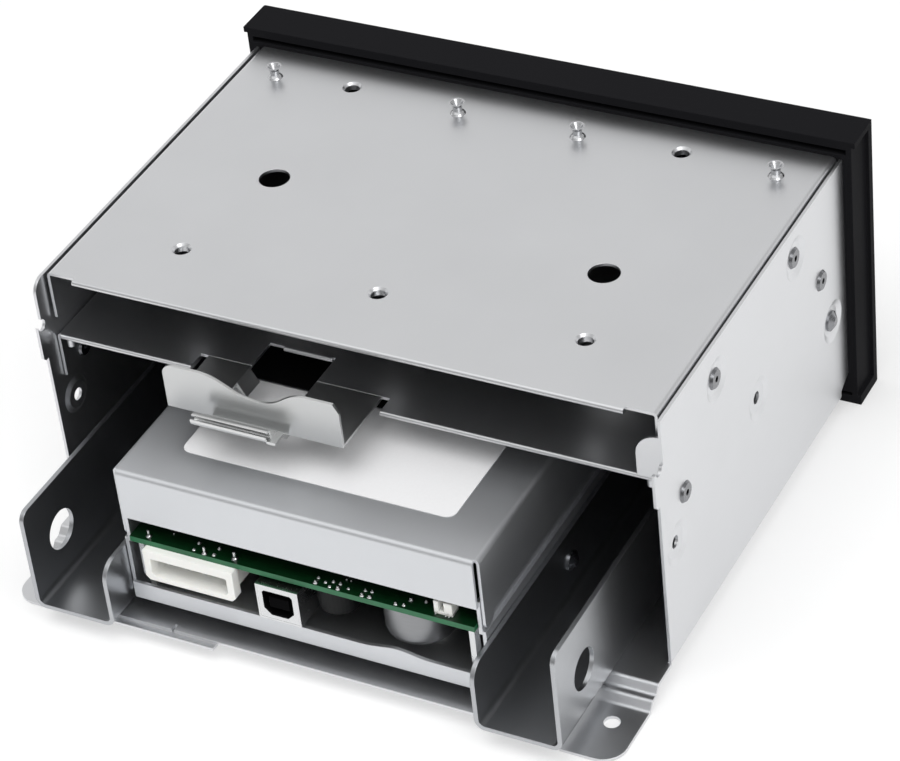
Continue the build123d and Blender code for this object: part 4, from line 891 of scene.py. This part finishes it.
class DISKDRIVE_OT_chips(bpy.types.Operator):
    """Chips on the circuit board with their legs, and the coil under it"""

    bl_idname = "disk_drive.chips"
    bl_label = "Chips"

    def execute(self, context):
        choice = settings().board
        low, high = (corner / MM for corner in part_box("circuit_board"))
        chips = bmesh.new()
        legs = bmesh.new()
        for x, back, width, length, rise in CHIPS:
            y = high[1] - back
            bar(
                chips,
                (x - width / 2, y - length / 2, high[2] + 0.1),
                (x + width / 2, y + length / 2, high[2] + rise),
                0.12,
            )
            count = int(width / LEG_PITCH) - 1
            for index in range(count):
                leg = x + (index - (count - 1) / 2) * LEG_PITCH
                for side in (-1, 1):
                    near, far = sorted((side * (length / 2 - 0.1), side * (length / 2 + 0.7)))
                    bar(
                        legs,
                        (leg - LEG_HALF, y + near, high[2] - 0.02),
                        (leg + LEG_HALF, y + far, high[2] + 0.3),
                        0.06,
                        1,
                    )
        turned(
            chips,
            (*COIL_PLACE, low[2] - COIL_HEIGHT),
            (
                (0, 0),
                (COIL_RADIUS - 0.8, 0),
                (COIL_RADIUS - 0.2, 0.25),
                (COIL_RADIUS, 0.8),
                (COIL_RADIUS, COIL_HEIGHT - 0.8),
                (COIL_RADIUS - 0.5, COIL_HEIGHT),
                (0, COIL_HEIGHT),
            ),
            32,
        )
        close_poles(chips)
        epoxy = epoxy_package("moulded_epoxy_parts", choice.chip)
        new_piece("board_chips", chips, epoxy, "chassis", "chip_black", "board_parts")
        face_outwards(legs)
        tin = tinned_metal("tinned_legs", choice.tin)
        new_piece("chip_legs", legs, tin, "chassis", "tinned_metal")
        return {"FINISHED"}


class DISKDRIVE_OT_plugs(bpy.types.Operator):
    """Power inlet and its pins, rim of the data socket and the small header"""

    bl_idname = "disk_drive.plugs"
    bl_label = "Plugs"

    def execute(self, context):
        nylon = natural_nylon("natural_moulded_nylon_details", settings().moulding.nylon)
        tin = tinned_metal("tinned_contacts", settings().board.tin)

        low, high = (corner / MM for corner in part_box("power_pins"))
        pitch = (high[0] - low[0] - (high[2] - low[2])) / (PIN_COUNT - 1)
        radius = (high[2] - low[2]) / 2
        reach = high[1] - low[1] - PIN_SETBACK
        pins = bmesh.new()
        backwards = Matrix.Rotation(-math.pi / 2, 3, "X")
        for index in range(PIN_COUNT):
            turned(
                pins,
                (low[0] + radius + index * pitch, low[1], (low[2] + high[2]) / 2),
                (
                    (0, 0),
                    (radius, 0),
                    (radius, reach - 1.0),
                    (radius * 0.8, reach - 0.35),
                    (radius * 0.4, reach),
                    (0, reach),
                ),
                24,
                backwards,
            )
        close_poles(pins)
        new_piece("power_contacts", pins, tin, "chassis", "tinned_metal", "power_pins")

        low, high = (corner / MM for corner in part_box("power_connector"))
        foot = high[2] - INLET_HEIGHT
        mouth = outline((low[0] + 2.0, foot + 1.5), (high[0] - 2.0, high[2] - 2.6), 0.9, 0.4)
        inlet = bmesh.new()
        face = outline((low[0], foot), (high[0], high[2]), 1.1, 0.3)
        ring(inlet, face, mouth, high[1], INLET_LIP)
        body = outline((low[0] + 1.2, foot + 0.9), (high[0] - 1.2, high[2] - 0.1), 1.0, 0.3)
        ring(inlet, body, mouth, high[1] - INLET_LIP + 0.1, INLET_DEPTH - INLET_LIP + 0.1)
        bar(
            inlet,
            (low[0] + 1.3, low[1], foot + 1.0),
            (high[0] - 1.3, high[1] - INLET_DEPTH + 0.9, high[2] - 0.2),
            0.4,
        )
        sharp = [edge for edge in inlet.edges if edge.is_manifold and edge.calc_face_angle() > 0.5]
        bmesh.ops.bevel(
            inlet,
            geom=sharp,
            offset=0.16 * MM,
            segments=2,
            profile=0.5,
            affect="EDGES",
            material=-1,
            clamp_overlap=True,
        )
        face_outwards(inlet)
        new_piece("power_inlet", inlet, nylon, "chassis", "nylon_white", "power_connector")

        low, high = (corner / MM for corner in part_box("data_socket_shell"))
        centre = (low[0] + high[0]) / 2
        middle = (low[2] + SOCKET_HIGH) / 2
        rim = bmesh.new()
        ring(
            rim,
            outline((low[0] + 0.25, low[2] + 0.25), (high[0] - 0.25, SOCKET_HIGH - 0.25), 0.1, 0.1),
            outline(
                (centre - SOCKET_HALF[0], middle - SOCKET_HALF[1]),
                (centre + SOCKET_HALF[0], middle + SOCKET_HALF[1]),
                1.9,
                0.6,
            ),
            high[1] - 0.05,
            0.5,
        )
        face_outwards(rim)
        new_piece("data_socket_rim", rim, tin, "chassis", "tinned_metal")

        low, high = (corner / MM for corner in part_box("board_header"))
        header = bmesh.new()
        bar(header, (low[0], low[1], low[2]), (high[0], high[1], low[2] + 0.9), 0.15)
        bar(header, (high[0] - 1.3, low[1], low[2]), (high[0], high[1], high[2]), 0.2)
        bar(header, (low[0], low[1], low[2]), (low[0] + 2.3, high[1], high[2]), 0.2)
        close_poles(header)
        new_piece("header_posts", header, nylon, "chassis", "nylon_white", "board_header")
        wires = bmesh.new()
        for x in (low[0] + 0.7, low[0] + 1.6, high[0] - 0.65):
            bar(
                wires,
                (x - WIRE_HALF, high[1] - 0.3, low[2] - 0.02),
                (x + WIRE_HALF, high[1] + 0.7, low[2] + 0.45),
                0.1,
            )
        close_poles(wires)
        new_piece("header_wires", wires, tin, "chassis", "tinned_metal")
        return {"FINISHED"}


def arc(centre, radius, start, stop, steps):
    """Points of y and z on an arc in mm, with angles in degrees from the rear."""
    turns = (math.radians(start + (stop - start) * at / steps) for at in range(steps + 1))
    return [(centre[0] + radius * math.cos(a), centre[1] + radius * math.sin(a)) for a in turns]


def section(builder, outline_points, low, high):
    """Adds a strip whose section of y and z runs from one x to another, all in mm."""
    made = [builder.verts.new((low * MM, y * MM, z * MM)) for y, z in outline_points]
    pull(builder, [builder.faces.new(made)], ((high - low) * MM, 0, 0))


class DISKDRIVE_OT_catch(bpy.types.Operator):
    """Catch of the spring latch, with its slotted rolled bead"""

    bl_idname = "disk_drive.catch"
    bl_label = "Latch Catch"

    def execute(self, context):
        low, high = (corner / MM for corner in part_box("latch_catch"))
        bead = (high[1] - BEAD_RADIUS, high[2] - BEAD_RADIUS)
        top = bead[1] - BEAD_RADIUS + CATCH_SHEET + 0.05
        foot = low[2]
        start = (low[1], foot + CATCH_SHEET)
        ramp = ((bead[0] - 4.6, foot + CATCH_SHEET), (bead[0] - 3.2, top))
        back = ((bead[0] - 2.7, top - CATCH_SHEET), (bead[0] - 4.1, foot), (low[1], foot))
        bore = BEAD_RADIUS - BEAD_WALL
        slotted = (
            arc(bead, BEAD_RADIUS, 205, 66, 8)
            + arc(bead, bore, 66, 384, 18)
            + arc(bead, BEAD_RADIUS, 24, -90, 7)
        )
        catch = bmesh.new()
        end = low[0] + CATCH_BARE
        section(catch, [start, *ramp, *slotted, *back], end, low[0] + CATCH_WIDTH)
        section(
            catch,
            [start, *ramp, (high[1] - 0.3, top), (high[1] - 0.3, top - CATCH_SHEET), *back],
            low[0],
            end,
        )
        closed = arc(bead, BEAD_RADIUS, 252, 66, 12) + arc(bead, bore, 66, 252, 12)
        lower = arc(bead, bore, 270, 384, 8) + arc(bead, BEAD_RADIUS, 24, -90, 8)
        section(catch, closed, low[0] + CATCH_WIDTH, high[0])
        section(catch, lower, low[0] + CATCH_WIDTH, high[0])
        face_outwards(catch)
        smooth(catch, 0.5)
        spring = settings().sheet
        bright = plated_sheet("burnished_spring_steel", spring.catch, 0.24, grain=0.5, cloud=9.0)
        new_piece("catch_bead", catch, bright, "release_latch", "spring_steel", "latch_catch")
        return {"FINISHED"}


class DISKDRIVE_OT_label(bpy.types.Operator):
    """Bare white label on the drive's cover, and a black sheet of painted shade in front of it"""

    bl_idname = "disk_drive.label"
    bl_label = "Label"

    def execute(self, context):
        choice = settings().label
        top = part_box("drive_cover")[1].z
        paper = coated_paper("coated_label_paper", choice.paper)
        # Painted shade: a black sheet on the drive's top in front of the label, for the shade under
        # the shelf.
        painted_shade_sheet = painted_shade_material("black_painted_shade", choice.painted_shade_sheet)
        sheets = (
            ("drive_label", choice.half_width, choice.front, choice.rear, paper),
            ("painted_shade_on_drive", choice.shade_sheet_half_width, choice.shade_sheet_front, choice.shade_sheet_rear, painted_shade_sheet),
        )
        for name, half, front, rear, finish in sheets:
            builder = bmesh.new()
            corners = [
                builder.verts.new((x, y, top))
                for x, y in ((-half, front), (half, front), (half, rear), (-half, rear))
            ]
            builder.faces.new(corners)
            bmesh.ops.bevel(
                builder,
                geom=corners,
                offset=choice.corner,
                segments=6,
                profile=0.5,
                affect="VERTICES",
                material=-1,
            )
            pull(builder, builder.faces[:], (0, 0, choice.thickness))
            face_outwards(builder)
            new_piece(name, builder, finish, "chassis", "label_paper")
        return {"FINISHED"}


def studio_floor(tone):
    """Pale floor that is white to the camera and keeps the object's shadow.

    It glows more further out, where the lamps no longer reach it. In mirrors it ends a little
    way in front of the object, where the grey room begins. From beneath it is clear, so that
    the underside of the object can be looked at.
    """
    material = bpy.data.materials.new("studio_floor")
    material.use_nodes = True
    tree = material.node_tree
    tree.nodes.clear()
    matt = add_node(tree, "ShaderNodeBsdfDiffuse", {"Color": rgba(tone, 0.62)})
    place = add_node(tree, "ShaderNodeTexCoord").outputs["Object"]
    reach = add_node(tree, "ShaderNodeVectorMath", {0: place}, operation="LENGTH")
    level = add_node(
        tree,
        "ShaderNodeMapRange",
        {
            "Value": reach.outputs["Value"],
            "From Min": 0.3,
            "From Max": 1.5,
            "To Min": 0.49,
            "To Max": 0.84,
        },
        interpolation_type="SMOOTHSTEP",
    )
    glow = add_node(
        tree, "ShaderNodeEmission", {"Color": rgba(tone), "Strength": level.outputs["Result"]}
    )
    both = add_node(tree, "ShaderNodeAddShader", {0: matt.outputs["BSDF"], 1: glow.outputs[0]})
    away = add_node(
        tree, "ShaderNodeVectorMath", {0: place, 1: NEAR_SIDE}, operation="DOT_PRODUCT"
    )
    room = add_node(
        tree,
        "ShaderNodeMapRange",
        {"Value": away.outputs["Value"], "From Min": 0.16, "From Max": 0.4, "To Max": 0.9},
        interpolation_type="SMOOTHSTEP",
    )
    path = add_node(tree, "ShaderNodeLightPath")
    mirrored = add_node(
        tree,
        "ShaderNodeMath",
        {0: path.outputs["Is Glossy Ray"], 1: room.outputs["Result"]},
        operation="MULTIPLY",
    )
    grey = add_node(tree, "ShaderNodeEmission", {"Color": rgba(tone), "Strength": 0.2})
    seen = add_node(
        tree,
        "ShaderNodeMixShader",
        {0: mirrored.outputs["Value"], 1: both.outputs["Shader"], 2: grey.outputs["Emission"]},
    )
    side = add_node(tree, "ShaderNodeNewGeometry").outputs["Backfacing"]
    clear = add_node(tree, "ShaderNodeBsdfTransparent")
    sheet = add_node(
        tree,
        "ShaderNodeMixShader",
        {0: side, 1: seen.outputs["Shader"], 2: clear.outputs["BSDF"]},
    )
    add_node(tree, "ShaderNodeOutputMaterial", {"Surface": sheet.outputs["Shader"]})
    return material


def studio_world():
    """Background that is white where it is seen.

    As a light it is plain and soft. In mirrors it is a grey room, with the white paper sweep
    beyond the object and one broad white patch like a diffused ceiling lamp over it.
    """
    world = bpy.data.worlds.new("studio_world")
    world.use_nodes = True
    tree = world.node_tree
    tree.nodes.clear()
    path = add_node(tree, "ShaderNodeLightPath")
    seen = add_node(
        tree,
        "ShaderNodeMath",
        {0: path.outputs["Is Camera Ray"], 1: path.outputs["Is Transmission Ray"]},
        operation="MAXIMUM",
    )
    toward = add_node(tree, "ShaderNodeTexCoord").outputs["Generated"]
    height = add_node(tree, "ShaderNodeSeparateXYZ", {"Vector": toward})
    room = add_node(
        tree,
        "ShaderNodeMapRange",
        {
            "Value": height.outputs["Z"],
            "From Max": 0.6,
            "To Min": ROOM_LOW,
            "To Max": ROOM_HIGH,
        },
        interpolation_type="SMOOTHSTEP",
    )
    behind = add_node(
        tree, "ShaderNodeVectorMath", {0: toward, 1: FAR_SIDE}, operation="DOT_PRODUCT"
    )
    paper = add_node(
        tree,
        "ShaderNodeMapRange",
        {"Value": behind.outputs["Value"], "From Max": 0.25},
        interpolation_type="SMOOTHSTEP",
    )
    low = add_node(
        tree,
        "ShaderNodeMapRange",
        {"Value": height.outputs["Z"], "From Min": 0.56, "From Max": 0.36},
        interpolation_type="SMOOTHSTEP",
    )
    sheet = add_node(
        tree,
        "ShaderNodeMath",
        {0: paper.outputs["Result"], 1: low.outputs["Result"]},
        operation="MULTIPLY",
    )
    sweep = add_node(
        tree,
        "ShaderNodeMath",
        {0: room.outputs["Result"], 1: sheet.outputs["Value"]},
        operation="MAXIMUM",
    )
    near = add_node(
        tree, "ShaderNodeVectorMath", {0: toward, 1: PATCH_TOWARDS}, operation="DOT_PRODUCT"
    )
    patch = add_node(
        tree,
        "ShaderNodeMapRange",
        {
            "Value": near.outputs["Value"],
            "From Min": 0.72,
            "From Max": 0.97,
            "To Max": PATCH_GLOW,
        },
        interpolation_type="SMOOTHSTEP",
    )
    mirrored = add_node(
        tree,
        "ShaderNodeMath",
        {0: sweep.outputs["Value"], 1: patch.outputs["Result"]},
        operation="MAXIMUM",
    )
    lit = add_node(
        tree,
        "ShaderNodeMix",
        {
            "Factor": path.outputs["Is Glossy Ray"],
            "A": SOFT_FILL,
            "B": mirrored.outputs["Value"],
        },
        data_type="FLOAT",
    )
    level = add_node(
        tree,
        "ShaderNodeMath",
        {0: seen.outputs["Value"], 1: lit.outputs["Result"]},
        operation="MAXIMUM",
    )
    back = add_node(
        tree,
        "ShaderNodeBackground",
        {"Color": (1, 1, 1, 1), "Strength": level.outputs["Value"]},
    )
    add_node(tree, "ShaderNodeOutputWorld", {"Surface": back.outputs["Background"]})
    return world


def area_lamp(name, place, target, size, watts, mirrored):
    """Square soft lamp that points at a target, and that mirrors may leave out."""
    lamp = bpy.data.lights.new(name, "AREA")
    lamp.shape = "SQUARE"
    lamp.size = size
    lamp.energy = watts
    holder = bpy.data.objects.new(name, lamp)
    holder.location = place
    aim = Vector(target) - Vector(place)
    holder.rotation_euler = aim.to_track_quat("-Z", "Y").to_euler()
    holder.visible_glossy = mirrored
    bpy.context.scene.collection.objects.link(holder)


class DISKDRIVE_OT_studio(bpy.types.Operator):
    """Floor, background, lamps and the camera at the photograph's angle"""

    bl_idname = "disk_drive.studio"
    bl_label = "Studio"

    def execute(self, context):
        choice = settings().studio
        scene = context.scene
        builder = bmesh.new()
        bmesh.ops.create_grid(builder, x_segments=1, y_segments=1, size=FLOOR_HALF)
        bmesh.ops.translate(builder, verts=builder.verts[:], vec=(0, 0, -FLOOR_DROP))
        mesh = bpy.data.meshes.new("floor")
        builder.to_mesh(mesh)
        builder.free()
        mesh.materials.append(studio_floor(choice.floor))
        floor = bpy.data.objects.new("floor", mesh)
        scene.collection.objects.link(floor)
        scene.world = studio_world()
        for lamp in LAMPS:
            area_lamp(*lamp)
        scene.view_settings.view_transform = "Standard"
        camera = bpy.data.cameras.new("photo_camera")
        camera.lens = choice.lens
        camera.sensor_width = SENSOR_WIDTH
        camera.shift_x, camera.shift_y = SENSOR_SHIFT
        camera.clip_start = 0.01
        camera.clip_end = 20.0
        holder = bpy.data.objects.new("photo_camera", camera)
        turn = (
            Matrix.Rotation(choice.azimuth, 4, "Z")
            @ Matrix.Rotation(math.pi / 2 - choice.elevation, 4, "X")
            @ Matrix.Rotation(choice.roll, 4, "Z")
        )
        holder.matrix_world = Matrix.Translation(choice.place) @ turn
        scene.collection.objects.link(holder)
        scene.camera = holder
        return {"FINISHED"}


class DISKDRIVE_PT_panel(bpy.types.Panel):
    """Sidebar panel that lists the finish's steps"""

    bl_idname = "DISKDRIVE_PT_panel"
    bl_label = "Disk Drive"
    bl_space_type = "VIEW_3D"
    bl_region_type = "UI"
    bl_category = "Disk Drive"

    def draw(self, context):
        for step in STEPS:
            self.layout.operator(step.bl_idname)
        for part in DiskDriveSettings.__annotations__:
            group = getattr(settings(), part)
            box = self.layout.box()
            for name in group.__annotations__:
                box.prop(group, name)


STEPS = (
    DISKDRIVE_OT_sheet,
    DISKDRIVE_OT_mouldings,
    DISKDRIVE_OT_boards,
    DISKDRIVE_OT_joints,
    DISKDRIVE_OT_can,
    DISKDRIVE_OT_chips,
    DISKDRIVE_OT_plugs,
    DISKDRIVE_OT_catch,
    DISKDRIVE_OT_label,
    DISKDRIVE_OT_studio,
)
GROUPS = (
    SheetSettings,
    MouldingSettings,
    BoardSettings,
    LabelSettings,
    StudioSettings,
    DiskDriveSettings,
)


def register():
    """Registers the settings, steps and panel."""
    for entry in (*GROUPS, *STEPS, DISKDRIVE_PT_panel):
        bpy.utils.register_class(entry)
    bpy.types.Scene.disk_drive = PointerProperty(type=DiskDriveSettings)


def unregister():
    """Takes them out again."""
    del bpy.types.Scene.disk_drive
    for entry in reversed((*GROUPS, *STEPS, DISKDRIVE_PT_panel)):
        bpy.utils.unregister_class(entry)


def main():
    """Makes the finish step by step."""
    register()
    bpy.ops.disk_drive.sheet()
    bpy.ops.disk_drive.mouldings()
    bpy.ops.disk_drive.boards()
    bpy.ops.disk_drive.joints()
    bpy.ops.disk_drive.can()
    bpy.ops.disk_drive.chips()
    bpy.ops.disk_drive.plugs()
    bpy.ops.disk_drive.catch()
    bpy.ops.disk_drive.label()
    bpy.ops.disk_drive.studio()


if __name__ == "__main__":
    main()
